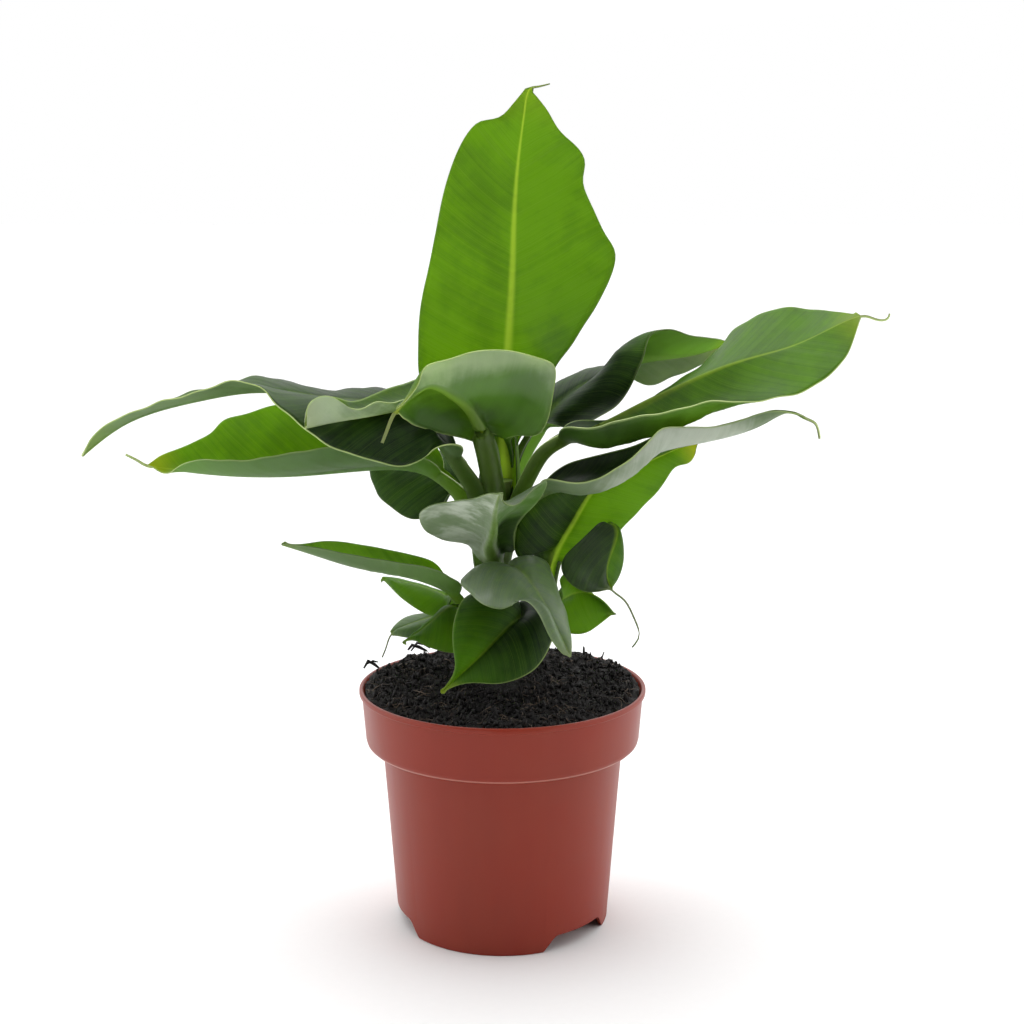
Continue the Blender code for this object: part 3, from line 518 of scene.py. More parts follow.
def smooth_path(points, places):
    """Points at the given shares of the length of a natural cubic curve through points."""
    p = np.array(points, float)
    count = len(p)
    steps = np.linalg.norm(np.diff(p, axis=0), axis=1) ** 0.5
    knots = np.concatenate([[0.0], np.cumsum(steps)])
    system = np.eye(count)
    bends = np.zeros_like(p)
    for i in range(1, count - 1):
        before, after = steps[i - 1], steps[i]
        system[i, i - 1:i + 2] = before, 2 * (before + after), after
        bends[i] = 6 * ((p[i + 1] - p[i]) / after - (p[i] - p[i - 1]) / before)
    bends = np.linalg.solve(system, bends)
    fine = np.linspace(0.0, knots[-1], 600)
    k = np.clip(np.searchsorted(knots, fine, side="right") - 1, 0, count - 2)
    step = steps[k][:, None]
    t = fine[:, None] - knots[k][:, None]
    slope = (p[k + 1] - p[k]) / step - step * (2 * bends[k] + bends[k + 1]) / 6
    curve = p[k] + t * (slope + t * (bends[k] / 2 + t * (bends[k + 1] - bends[k]) / (6 * step)))
    run = np.concatenate([[0.0], np.cumsum(np.linalg.norm(np.diff(curve, axis=0), axis=1))])
    wanted = np.asarray(places) * run[-1]
    return np.stack([np.interp(wanted, run, curve[:, axis]) for axis in range(3)], axis=1), run[-1]


def spread(values, share):
    """Values at even stations from 0 to 1, joined smoothly."""
    v = np.array(values, float)
    if len(v) == 1:
        return np.full_like(share, v[0])
    step = 1.0 / (len(v) - 1)
    k = np.clip((share / step).astype(int), 0, len(v) - 2)
    t = share / step - k
    slope = np.gradient(v)
    return ((2 * t**3 - 3 * t**2 + 1) * v[k] + (t**3 - 2 * t**2 + t) * slope[k]
            + (3 * t**2 - 2 * t**3) * v[k + 1] + (t**3 - t**2) * slope[k + 1])


def blade_shape(share, widest):
    """A blade's outline: a round base, the widest place and a long point."""
    base = 0.5
    point = max(base * (1 - widest) / widest, 0.6)
    peak = base / (base + point)
    return share**base * (1 - share) ** point / (peak**base * (1 - peak) ** point)


def unit(vectors):
    """The same directions with length 1."""
    return vectors / np.maximum(np.linalg.norm(vectors, axis=-1, keepdims=True), 1e-9)


def stem_line(stem, height):
    """A stem's middle at a height."""
    fine, _ = smooth_path(stem["path"], np.linspace(0.0, 1.0, 60))
    return np.array([np.interp(height, fine[:, 2], fine[:, axis]) for axis in range(3)])


def sheathed(leaf):
    """The leaf's path with a sheath that runs up the stem ahead of it, how much of the whole is
    sheath, and the way out from the stem there."""
    stem = STEMS[leaf["on"]]
    first = np.array(leaf["path"][0], float)
    axis = stem_line(stem, first[2])
    out = first - axis
    out[2] = 0.0
    if np.linalg.norm(out) < 1.0:  # the leaf starts on the stem's own middle
        out = -np.array(leaf["face"], float)
        out[2] = 0.0
    out = unit(out)
    radius = stem["radii"][0]
    points = []
    for share, far in ((1.0, 0.55), (0.55, 0.95), (0.2, 1.08)):
        height = first[2] - leaf["sheath"] * share
        middle = stem_line(stem, height)
        middle[2] = height
        points.append(middle + out * radius * far)
    return points + [np.array(p, float) for p in leaf["path"][1:]], out


def seen(column, row, depth):
    """The place in millimetres that the photograph shows at a column and row, if its Y is depth."""
    pitch = math.radians(CAMERA_PITCH)
    focal = CAMERA_LENS / SENSOR * FRAME
    rise = (FRAME / 2 - row) / focal
    far = depth - CAMERA_PLACE[1]
    z = far * (rise * math.cos(pitch) - math.sin(pitch)) / (math.cos(pitch) + rise * math.sin(pitch))
    away = far * math.cos(pitch) - z * math.sin(pitch)
    return (column - FRAME / 2) * away / focal + CAMERA_PLACE[0], depth, z + CAMERA_PLACE[2]


def ease(value):
    """A smooth step from 0 to 1."""
    t = np.clip(value, 0.0, 1.0)
    return t * t * (3 - 2 * t)


def follow_margin(grid, reach, wide, middle, ahead, share, leaf, key, sign, steps):
    """Moves one half of a blade so that its margin runs where EDGES says."""
    margin, _ = smooth_path([seen(*point) for point in leaf["margins"][key]], share)
    span = margin - middle
    width = np.linalg.norm(span, axis=1)
    way = unit(span)
    lift = unit(np.cross(ahead, way)) * sign
    sag = spread(leaf["margins"]["sag"][0 if sign > 0 else 1], share)
    part = (ease(share / leaf["joined"]) * ease((1 - share) / TIP_BLEND))[:, None]
    across = len(steps) - 1
    for step in range(1, across + 1):
        at, a = across - sign * step, steps[step]
        bow = 4 * a * (1 - a) * np.minimum(np.abs(sag), width * 0.5) * np.sign(sag)
        place = middle + span * a + lift * bow[:, None]
        grid[:, at] = grid[:, at] * (1 - part) + place * part
        reach[:, at] = reach[:, at] * (1 - part[:, 0]) + width * a * part[:, 0]
        wide[:, at] = wide[:, at] * (1 - part[:, 0]) + width * part[:, 0]


def leaf_grid(leaf, across=LEAF_ACROSS):
    """The upper surface as rows of points, with what the shading needs to know at each point."""
    points, out = sheathed(leaf)
    _, own = smooth_path(leaf["path"], [0.0])
    _, full = smooth_path(points, [0.0])
    lead = (full - own) / full
    start, end = (lead + p * (1 - lead) for p in leaf["blade"])
    places = np.concatenate([
        np.linspace(0.0, start, SHEATH_ROWS)[:-1],
        start + (end - start) * np.linspace(0, 1, LEAF_ROWS) ** 1.15,
        np.linspace(end, 1.0, TAIL_ROWS)[1:] if end < 0.999 else np.zeros(0)])
    middle, _ = smooth_path(points, places)
    ahead = unit(np.gradient(middle, axis=0))
    turn_in = ease(places / max(start, 1e-6))[:, None]
    face = unit(-out * (1 - turn_in) + np.array(leaf["face"], float) * turn_in)
    side = unit(np.cross(face, ahead))
    up = unit(np.cross(ahead, side))
    share = np.clip((places - start) / (end - start), 0.0, 1.0)
    along = places * full
    stalk = np.clip(1 - 6 * share, 0.0, 1.0)
    back = leaf.get("lobe", 0.0) * (1 - share) ** 3 * (share > 0)
    steps = (np.arange(across + 1) / across) ** 1.35
    grid = np.zeros((len(places), 2 * across + 1, 3))
    reach, wide, cross = np.zeros((3, *grid.shape[:2]))
    grid[:, across] = middle
    tail_width = TAIL_HALF * (1 - 0.6 * np.clip((places - end) / max(1 - end, 1e-6), 0, 1))
    for sign, key in ((1, "left"), (-1, "right")):
        form = leaf[key]
        if form["shares"] is None:
            shape = blade_shape(share, form["widest"])
        else:
            shape = np.maximum(spread(form["shares"], share), 0.0)
        shape[places < start] = 0.0
        width = np.maximum(np.maximum(form["width"] * shape, leaf["stalk"] * stalk), tail_width)
        fold = ease(1 - 8 * share)
        lift = np.radians(spread(form["lifts"], share) * (1 - fold) + STALK_LIFT * fold)
        curl = np.radians(spread(form["curl"], share) * (1 - fold) + STALK_CURL * fold)
        place = middle.copy()
        wide[:, across] = np.maximum(wide[:, across], width)
        for step in range(1, across + 1):
            mid = (steps[step] + steps[step - 1]) / 2
            turn = lift + curl * (1 - 2 * mid)
            way = np.cos(turn)[:, None] * sign * side + np.sin(turn)[:, None] * up
            place = place + way * (width * (steps[step] - steps[step - 1]))[:, None]
            behind = (back * steps[step] ** 1.5)[:, None] * ahead
            at = across - sign * step
            grid[:, at] = place - behind
            reach[:, at] = width * steps[step]
            wide[:, at] = width
            cross[:, at] = sign * steps[step]
        follow_margin(grid, reach, wide, middle, ahead, share, leaf, key, sign, steps)
    return grid, dict(share=share, along=along, reach=reach, wide=wide, cross=cross,
                      stalked=(places < start)[:, None])


def grid_normals(grid):
    """The way that the upper side looks at each point of a leaf's grid."""
    along = np.gradient(grid, axis=0)
    over = np.gradient(grid, axis=1)
    return unit(np.cross(over, along))


def waved(grid, info, leaf):
    """The grid with the blade's waves: long ones that grow towards the margin, and fine pleats
    between the side veins."""
    seed = leaf["seed"]
    a = np.abs(info["cross"])
    v = info["along"][:, None]
    firm = np.clip(info["share"] * 8, 0, 1) * np.clip((1 - info["share"]) * 5, 0, 1)
    firm = firm[:, None] * np.clip(info["wide"] / 15.0, 0.25, 1.0)
    sign = np.where(info["cross"] >= 0, 1.0, -1.0)
    size = leaf["wave"]
    long = np.sin(v / 4.6 + seed + 1.7 * sign) * 0.6 + np.sin(v / 2.1 + 2.1 * seed - 0.6 * sign) * 0.4
    vein = v - VEIN_ADVANCE * info["reach"]
    pleat = np.sin(vein / 0.55 + seed) * 0.4 + np.sin(vein / 1.25 + 1.3 * seed) * 0.6
    height = size * long * a**2 + leaf["pleat"] * pleat * np.clip(a * 4, 0, 1) * (1 - a**6)
    return grid + grid_normals(grid) * (height * firm)[..., None]


def object_from(name, points, faces, materials, slots=None):
    """A smooth object from points in millimetres."""
    mesh = bpy.data.meshes.new(name)
    mesh.from_pydata([tuple(p) for p in (np.asarray(points, float) * MM).tolist()], [], faces)
    for one in materials:
        mesh.materials.append(one)
    if slots is not None:
        mesh.polygons.foreach_set("material_index", np.asarray(slots, np.int32))
    mesh.update()
    mesh.shade_smooth()
    made = bpy.data.objects.new(name, mesh)
    bpy.context.scene.collection.objects.link(made)
    return made


def write_values(mesh, name, values):
    """Keeps a number or a triple for each point of the mesh, for its material."""
    kind = "FLOAT" if values.ndim == 1 else "FLOAT_VECTOR"
    layer = mesh.attributes.new(name, kind, "POINT")
    layer.data.foreach_set("value" if values.ndim == 1 else "vector", values.astype(np.float32).ravel())


def quads(rows, columns, first, flip):
    """Faces of a grid of points that starts at index first."""
    r, c = np.meshgrid(np.arange(rows - 1), np.arange(columns - 1), indexing="ij")
    a = first + r * columns + c
    faces = np.stack([a, a + 1, a + columns + 1, a + columns], -1).reshape(-1, 4)
    return faces[:, ::-1] if flip else faces


def make_leaf(name, leaf):
    """A closed thin leaf: upper side, under side with its rib, and the margin between them."""
    top, info = leaf_grid(leaf)
    top = waved(top, info, leaf)
    share = info["share"]
    rib = RIB_AT_STALK + (RIB_AT_TIP - RIB_AT_STALK) * np.minimum(share * 1.15, 1.0) ** 0.7
    rib = rib * min(1.0, leaf["stalk"] / 3.5)
    rib_half = np.clip(rib * 0.9, 0.35, None)[:, None]
    body = np.clip(1 - (info["reach"] / (rib_half * 1.5)) ** 2, 0, 1) ** 0.5
    depth = THIN + rib[:, None] * body
    stalked = info["stalked"]
    thick = 2.4 * leaf["stalk"] / 4.0
    round_off = np.clip(1 - (info["reach"] / np.maximum(info["wide"], 0.1)) ** 2, 0, 1)
    stalk_depth = np.maximum(THIN + thick * round_off**0.6, depth)
    blend = np.clip(1 - 9 * share, 0, 1)[:, None]
    depth = np.where(stalked, stalk_depth, depth * (1 - blend) + stalk_depth * blend)
    normals = grid_normals(top)
    under = top - normals * depth[..., None]
    groove = np.clip(1 - (info["reach"] / (rib_half * 1.3)) ** 2, 0, 1) * (1 - stalked)
    top = top - normals * (GROOVE * rib[:, None] * groove)[..., None]
    count, wide = top.shape[:2]
    points = np.concatenate([top.reshape(-1, 3), under.reshape(-1, 3)])
    layer = count * wide
    faces = [quads(count, wide, 0, False), quads(count, wide, layer, True)]
    slots = [np.zeros(len(faces[0]), int), np.ones(len(faces[1]), int)]
    rims = []
    for i in range(count - 1):
        a, b = i * wide, (i + 1) * wide
        rims.append([b, b + layer, a + layer, a])
        a, b = a + wide - 1, b + wide - 1
        rims.append([a, a + layer, b + layer, b])
    for j in range(wide - 1):
        rims.append([j, j + layer, j + 1 + layer, j + 1])
        a = (count - 1) * wide + j
        rims.append([a + 1, a + 1 + layer, a + layer, a])
    faces.append(np.array(rims))
    slots.append(np.full(len(rims), 2))
    faces = np.concatenate(faces).tolist()
    materials = [upper_surface(name, leaf), under_surface(name, leaf), margin_surface(leaf["rim"] > 0.5)]
    made = object_from(name + "_leaf", points, faces, materials, np.concatenate(slots))
    edge = info["wide"] - info["reach"]
    edge = np.where(stalked, edge * 0.5, edge)
    veins = np.stack([np.broadcast_to(info["along"][:, None], edge.shape) - VEIN_ADVANCE * info["reach"],
                      info["reach"], edge], -1).reshape(-1, 3)
    forms = np.stack([np.broadcast_to(share[:, None], edge.shape), info["cross"],
                      np.broadcast_to(rib_half, edge.shape)], -1).reshape(-1, 3)
    left = np.clip(0.5 + info["cross"] * 12, 0, 1)
    tones = []
    # Per half and along the blade: the leaf's own colour, with painted shade in the tone and painted
    # sheen in the under side's value.
    for kind in ("tone", "bloom_and_sheen"):
        one, two = leaf[kind]
        value = spread(one, share)[:, None] * left + spread(two, share)[:, None] * (1 - left)
        # Painted sheen: the under side is made paler towards the margins.
        if kind == "bloom_and_sheen":
            value = value + leaf["outer"] * np.abs(info["cross"]) ** 1.5
        tones.append(value.ravel())
    write_values(made.data, "veins", np.concatenate([veins, veins]))
    write_values(made.data, "forms", np.concatenate([forms, forms]))
    write_values(made.data, "tone", np.clip(np.concatenate(tones), -1, 2))
    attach(made, "root")
    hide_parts(name)
    return made


class Wiring:
    """Nodes of a material or a world, made and joined in short calls."""

    def __init__(self, owner):
        owner.use_nodes = True
        self.owner = owner
        self.tree = owner.node_tree
        self.shader = self.tree.nodes.get("Principled BSDF")

    def put(self, socket, value):
        if isinstance(value, bpy.types.NodeSocket):
            self.tree.links.new(value, socket)
        elif value is not None:
            socket.default_value = value

    def node(self, kind, *values, **settings):
        made = self.tree.nodes.new("ShaderNode" + kind)
        for key, value in settings.items():
            setattr(made, key, value)
        for socket, value in zip(made.inputs, values):
            self.put(socket, value)
        return made

    def math(self, operation, *values, clamp=False):
        return self.node("Math", *values, operation=operation, use_clamp=clamp).outputs[0]

    def times(self, a, b):
        return self.math("MULTIPLY", a, b)

    def plus(self, a, b, clamp=False):
        return self.math("ADD", a, b, clamp=clamp)

    def ramp(self, value, low, high, to_low=0.0, to_high=1.0, smooth=True):
        made = self.node("MapRange", value, low, high, to_low, to_high,
                         interpolation_type="SMOOTHSTEP" if smooth else "LINEAR")
        return made.outputs[0]

    def mix(self, factor, a, b):
        made = self.node("Mix", factor, data_type="RGBA")
        self.put(made.inputs[6], a)
        self.put(made.inputs[7], b)
        return made.outputs[2]

    def noise(self, vector, scale, detail=2.0, rough=0.5, dimensions="3D"):
        made = self.node("TexNoise", noise_dimensions=dimensions)
        made.inputs["Scale"].default_value = scale
        made.inputs["Detail"].default_value = detail
        made.inputs["Roughness"].default_value = rough
        self.put(made.inputs["W" if dimensions == "1D" else "Vector"], vector)
        return made.outputs[0]

    def attribute(self, name):
        return self.node("Attribute", attribute_name=name)

    def place(self):
        return self.node("TexCoord").outputs["Object"]

    def stretched(self, squeeze):
        """The place, with its height squeezed."""
        made = self.node("Mapping", self.place())
        made.inputs["Scale"].default_value = (1.0, 1.0, squeeze)
        return made.outputs[0]

    def bump(self, height, distance, strength):
        made = self.node("Bump")
        made.inputs["Strength"].default_value = strength
        made.inputs["Distance"].default_value = distance
        self.put(made.inputs["Height"], height)
        return made.outputs[0]

    def finish(self, tint, rough, bumps=None):
        """Sets the shader's colour, roughness and bumps, and gives the material."""
        for name, value in (("Base Color", tint), ("Roughness", rough), ("Normal", bumps)):
            self.put(self.shader.inputs[name], value)
        return self.owner


def colour(red, green, blue):
    """A colour from the 0 to 255 values of the screen."""
    parts = []
    for value in (red, green, blue):
        v = value / 255
        parts.append(v / 12.92 if v <= 0.04045 else ((v + 0.055) / 1.055) ** 2.4)
    return (*parts, 1.0)


def vein_lines(w, leaf):
    """What both sides share: the grain of the fine and coarse veins, and how much of each point
    is vein line, rib, margin, blotch, stalk, yellowing tip and dry tip."""
    veins = w.node("SeparateXYZ", w.attribute("veins").outputs["Vector"])
    forms = w.node("SeparateXYZ", w.attribute("forms").outputs["Vector"])
    run, reach, edge = veins.outputs
    rib_half = forms.outputs[2]
    fine = w.noise(w.times(run, 1.5), 1.0, 2.0, 0.8, "1D")
    coarse = w.noise(w.times(run, 0.3), 1.0, 3.0, 0.6, "1D")
    lines = w.ramp(w.math("ABSOLUTE", w.math("SUBTRACT", fine, 0.5)), 0.0, 0.04, 1.0, 0.0)
    rib = w.ramp(w.math("DIVIDE", reach, rib_half), 0.2, leaf["broad"], 1.0, 0.0)
    rim = w.ramp(edge, EDGE_WIDE * 0.4, EDGE_WIDE * 1.4, 1.0, 0.0)
    blotch = w.noise(w.place(), 48.0, 4.0, 0.6)
    share = forms.outputs[0]
    stalk = w.times(w.ramp(share, 0.0, 0.4 * leaf["joined"], 0.75, 0.0),
                   w.ramp(reach, 3.5, 6.0, 1.0, 0.0))
    ripe = w.ramp(share, 0.86, 1.0, 0.0, leaf["ripe"])
    dry = w.ramp(share, 0.996, 1.0, 0.0, 0.85)
    return fine, coarse, lines, rib, rim, blotch, stalk, ripe, dry


def aged(w, tint, blotch, stalk, ripe, dry):
    """Olive stalk, yellow tip and dry grey end over a leaf's colour."""
    tint = w.mix(stalk, tint, w.mix(blotch, colour(44, 62, 18), colour(84, 108, 40)))
    tint = w.mix(ripe, tint, w.mix(blotch, colour(128, 156, 30), colour(168, 178, 70)))
    return w.mix(dry, tint, w.mix(blotch, colour(112, 124, 84), colour(156, 152, 128)))


def leaf_finish(w, tint, glow, through, rough, gloss, bumps):
    """A leaf's surface: satin reflection over its colour, and light that comes through."""
    w.shader.inputs["IOR"].default_value = 1.45
    w.shader.inputs["Specular IOR Level"].default_value = gloss
    lit = w.node("BsdfTranslucent", glow)
    both = w.node("MixShader", through, w.shader.outputs[0], lit.outputs[0])
    w.put(w.tree.nodes["Material Output"].inputs["Surface"], both.outputs[0])
    return w.finish(tint, rough, bumps)


def upper_surface(name, leaf):
    """Green upper side: tone 0 is dark and tone 1 bright, from the leaf's age and from painted shade on
    shaded halves and near the stalk.
    """
    w = Wiring(bpy.data.materials.new(name + "_upper"))
    fine, coarse, lines, rib, rim, blotch, stalk, ripe, dry = vein_lines(w, leaf)
    tone = w.attribute("tone").outputs["Fac"]
    spots = 0.08 * leaf["mottle"]
    patch = w.ramp(blotch, 0.35, 0.65, -spots, spots)
    tone = w.plus(tone, w.plus(patch, w.ramp(coarse, 0.3, 0.7, -0.04, 0.04)), clamp=True)
    grain = w.plus(w.times(fine, 0.5), w.times(blotch, 0.5))
    # Colours for tone 1 and 0: younger and older leaves, and also lit parts and painted shade on one
    # blade; the glow colours below follow them.
    young_and_lit = w.mix(grain, colour(46, 86, 10), colour(86, 134, 28))
    old_and_shaded = w.mix(grain, colour(8, 24, 6), colour(20, 42, 15))
    tint = w.mix(tone, old_and_shaded, young_and_lit)
    # Glaucous grey over the upper side, which also stands in for painted sheen on glossy leaves.
    tint = w.mix(leaf["wax_and_sheen"], tint, w.mix(grain, colour(96, 116, 84), colour(132, 150, 118)))
    tint = w.mix(w.times(lines, 0.10), tint, colour(136, 170, 70))
    pale = w.mix(tone, colour(56, 84, 34), colour(160, 190, 50))
    tint = w.mix(w.times(rib, leaf["rib"]), tint, pale)
    tint = w.mix(w.times(rim, leaf["rim"] * 0.9), tint, colour(176, 200, 120))
    tint = aged(w, tint, blotch, stalk, ripe, dry)
    glow_young_and_lit = w.mix(grain, colour(142, 192, 10), colour(186, 222, 44))
    glow_old_and_shaded = w.mix(grain, colour(40, 70, 12), colour(60, 92, 24))
    glow = w.mix(tone, glow_old_and_shaded, glow_young_and_lit)
    glow = w.mix(w.times(rib, leaf["rib"]), glow, colour(236, 246, 110))
    glow = w.mix(w.times(lines, 0.18), glow, colour(236, 250, 120))
    glow = w.mix(ripe, glow, colour(228, 232, 60))
    through = w.ramp(tone, 0.0, 1.0, 0.06, 0.58, smooth=False)
    matt = 0.2 * (1 - leaf["gloss"])
    rough = w.ramp(blotch, 0.3, 0.7, 0.3 + matt, 0.42 + matt)
    height = w.plus(w.times(fine, 0.6), w.times(coarse, 0.8))
    return leaf_finish(w, tint, glow, through, rough, leaf["gloss"], w.bump(height, 0.00022, 0.55))


def under_surface(name, leaf):
    """Under side: -1 is deep green, 0 green, 1 glaucous grey and 2 silver; the greys are partly painted
    sheen and the deep green is partly painted shade.
    """
    w = Wiring(bpy.data.materials.new(name + "_under"))
    fine, coarse, lines, rib, rim, blotch, stalk, ripe, dry = vein_lines(w, leaf)
    bloom_and_sheen = w.attribute("tone").outputs["Fac"]
    spots = 0.15 * leaf["mottle"]
    patch = w.ramp(blotch, 0.35, 0.65, -spots, spots)
    bloom_and_sheen = w.plus(bloom_and_sheen, w.plus(patch, w.ramp(coarse, 0.3, 0.7, -0.05, 0.05)))
    grain = w.plus(w.times(fine, 0.5), w.times(blotch, 0.5))
    deep = w.mix(grain, colour(20, 42, 8), colour(46, 76, 20))
    green = w.mix(grain, colour(48, 86, 18), colour(84, 124, 42))
    wax_and_sheen_grey = w.mix(grain, colour(100, 122, 86), colour(138, 156, 122))
    silver = w.mix(grain, colour(184, 196, 176), colour(212, 220, 204))
    # Deep green to silver by the under side's value: the glaucous coat's colour, with painted sheen in
    # the greys and silver and painted shade in the deep green.
    tint = w.mix(w.ramp(bloom_and_sheen, -1.0, 0.0), deep, green)
    tint = w.mix(w.ramp(bloom_and_sheen, 0.0, 1.0), tint, wax_and_sheen_grey)
    tint = w.mix(w.ramp(bloom_and_sheen, 1.0, 2.0), tint, silver)
    tint = w.mix(w.times(lines, 0.10), tint, colour(160, 180, 120))
    tint = w.mix(w.times(rib, 0.4 + 0.4 * leaf["rib"]), tint, colour(112, 142, 58))
    tint = w.mix(w.times(rim, leaf["rim"] * 0.9), tint, colour(190, 210, 140))
    tint = aged(w, tint, blotch, stalk, ripe, dry)
    glow = w.mix(w.ramp(bloom_and_sheen, -0.5, 1.0), colour(206, 240, 140), colour(176, 214, 130))
    glow = w.mix(w.ramp(bloom_and_sheen, 1.0, 2.0), glow, colour(232, 240, 214))
    glow = w.mix(ripe, glow, colour(228, 232, 90))
    through = w.ramp(bloom_and_sheen, -1.0, 1.0, leaf["thin"] * 0.5, leaf["thin"], smooth=False)
    matt = 0.2 * (1 - leaf["gloss"])
    rough = w.ramp(blotch, 0.3, 0.7, 0.32 + matt, 0.46 + matt)
    rumple = leaf["mottle"]
    height = w.plus(w.times(fine, 0.6 / rumple), w.times(coarse, 1.0 / rumple))
    height = w.plus(height, w.times(blotch, 4 * (rumple - 1)))
    return leaf_finish(w, tint, glow, through, rough, leaf["gloss"], w.bump(height, 0.00025, 0.6))


def margin_surface(pale):
    """The line round every leaf: pale and dry, or green."""
    name = "pale_margin" if pale else "green_margin"
    known = bpy.data.materials.get(name)
    if known:
        return known
    w = Wiring(bpy.data.materials.new(name))
    blotch = w.noise(w.place(), 90.0, 2.0)
    low = colour(150, 178, 90) if pale else colour(58, 84, 30)
    high = colour(206, 220, 150) if pale else colour(110, 132, 66)
    return w.finish(w.mix(blotch, low, high), w.ramp(blotch, 0.2, 0.8, 0.4, 0.55))


def stem_surface():
    """Smooth leaf sheaths, paler in streaks along the stem."""
    w = Wiring(bpy.data.materials.new("sheath_green"))
    streak = w.noise(w.stretched(0.12), 420.0, 3.0, 0.6)
    blotch = w.noise(w.place(), 45.0, 2.0)
    tint = w.mix(streak, colour(52, 84, 24), colour(104, 136, 52))
    tint = w.mix(w.ramp(blotch, 0.45, 0.75, 0.0, 0.6), tint, colour(140, 156, 92))
    return w.finish(tint, w.ramp(streak, 0.2, 0.8, 0.34, 0.5), w.bump(streak, 0.0004, 0.5))


def pot_surface():
    """Injection-moulded terracotta-coloured plastic: satin, with fine flow marks and dust, and a painted
    highlight line on the band's lower edge.
    """
    w = Wiring(bpy.data.materials.new("terracotta_plastic"))
    spot = w.place()
    marks = w.noise(w.stretched(0.18), 60.0, 4.0, 0.55)
    cloud = w.noise(spot, 22.0, 3.0)
    tint = w.mix(marks, colour(124, 38, 20), colour(140, 50, 29))
    tint = w.mix(w.ramp(cloud, 0.35, 0.7, 0.0, 0.5), tint, colour(136, 36, 17))
    height = w.node("SeparateXYZ", spot).outputs["Z"]
    # Painted highlight: a pale pink line along the band's rounded lower edge.
    from_highlight_line = w.math("ABSOLUTE", w.math("SUBTRACT", height, HIGHLIGHT_LINE * MM))
    tint = w.mix(w.ramp(from_highlight_line, 0.0002, 0.0006, 0.45, 0.0), tint, colour(206, 150, 136))
    specks = w.node("TexVoronoi", spot)
    specks.inputs["Scale"].default_value = 90.0
    dust = w.ramp(specks.outputs["Distance"], 0.0, 0.05, 1.0, 0.0)
    rare = w.ramp(w.noise(spot, 14.0, 1.0), 0.62, 0.7)
    tint = w.mix(w.times(w.times(dust, rare), 0.6), tint, colour(88, 40, 34))
    fine = w.noise(spot, 2600.0, 2.0)
    w.shader.inputs["IOR"].default_value = 1.45
    w.shader.inputs["Specular IOR Level"].default_value = 0.38
    height = w.plus(w.times(fine, 0.12), marks)
    return w.finish(tint, w.ramp(marks, 0.25, 0.75, 0.36, 0.46), w.bump(height, 0.00015, 0.35))


def peat_surface():
    """Dark damp peat with brown bark and fibre."""
    w = Wiring(bpy.data.materials.new("peat"))
    spot = w.place()
    coarse = w.noise(spot, 260.0, 4.0, 0.65)
    fine = w.noise(spot, 1100.0, 4.0, 0.7)
    tint = w.mix(fine, colour(8, 7, 8), colour(30, 24, 23))
    tint = w.mix(w.ramp(coarse, 0.58, 0.72, 0.0, 0.6), tint, colour(58, 44, 36))
    height = w.plus(coarse, w.times(fine, 0.6))
    return w.finish(tint, w.ramp(coarse, 0.3, 0.7, 0.75, 0.95), w.bump(height, 0.0012, 0.9))


def fibre_surface():
    """Dry plant fibres in the peat, from straw to dark brown."""
    w = Wiring(bpy.data.materials.new("peat_fibre"))
    spot = w.place()
    patch = w.noise(spot, 110.0, 2.0)
    streak = w.noise(spot, 900.0, 2.0)
    tint = w.mix(w.ramp(patch, 0.42, 0.7), colour(30, 23, 20), colour(112, 96, 80))
    tint = w.mix(w.times(streak, 0.5), tint, colour(30, 22, 18))
    return w.finish(tint, w.ramp(streak, 0.3, 0.7, 0.7, 0.9))


def inner_wall(height):
    """The pot's inside radius at a height."""
    if height < BAND_BOTTOM:
        rise = height / BAND_BOTTOM
        return FOOT_RADIUS + (BODY_TOP_RADIUS - FOOT_RADIUS) * rise - WALL
    rise = (height - BAND_BOTTOM) / (POT_HEIGHT - BAND_BOTTOM)
    return BAND_RADIUS + (RIM_RADIUS - LIP_OUT - BAND_RADIUS) * rise - WALL


def rounded(outline, radii, steps=4):
    """A closed outline with its corners rounded; radii go with the corners."""
    made = []
    count = len(outline)
    for n, corner in enumerate(outline):
        here = np.array(corner, float)
        radius = radii[n]
        if radius == 0:
            made.append(tuple(here))
            continue
        before = np.array(outline[n - 1], float) - here
        after = np.array(outline[(n + 1) % count], float) - here
        reach = min(radius, np.linalg.norm(before) * 0.45, np.linalg.norm(after) * 0.45)
        start = here + before / np.linalg.norm(before) * reach
        end = here + after / np.linalg.norm(after) * reach
        for t in np.linspace(0, 1, steps):
            made.append(tuple((1 - t) ** 2 * start + 2 * t * (1 - t) * here + t**2 * end))
    return made


def ring(points, radius, count, height, bulge=None):
    """Adds a ring of points round the axis and gives their numbers: one point on the axis itself.
    height is a number or a function of x and y, and bulge(turn, radius, height) moves outwards."""
    top = height if callable(height) else lambda x, y: height
    if radius < 1e-6:
        points.append((0.0, 0.0, top(0, 0)))
        return [len(points) - 1] * count
    for k in range(count):
        turn = 2 * math.pi * k / count
        far = radius + (bulge(turn, radius, height) if bulge else 0.0)
        x, y = far * math.cos(turn), far * math.sin(turn)
        points.append((x, y, top(x, y)))
    return list(range(len(points) - count, len(points)))


def between(rings):
    """Faces from each ring to the next."""
    faces = []
    for one, after in zip(rings, rings[1:]):
        for k in range(len(one)):
            j = (k + 1) % len(one)
            corners = [one[k], one[j], after[j], after[k]]
            face = [c for i, c in enumerate(corners) if c != corners[i - 1]]
            if len(face) > 2:
                faces.append(face)
    return faces


def turned(name, profile, materials, count, bulge=None):
    """A solid of revolution from a closed outline of (radius, height), listed counter-clockwise
    with the axis on its left."""
    points = []
    rings = [ring(points, radius, count, height, bulge) for radius, height in profile]
    return object_from(name, points, between(rings + rings[:1]), materials)


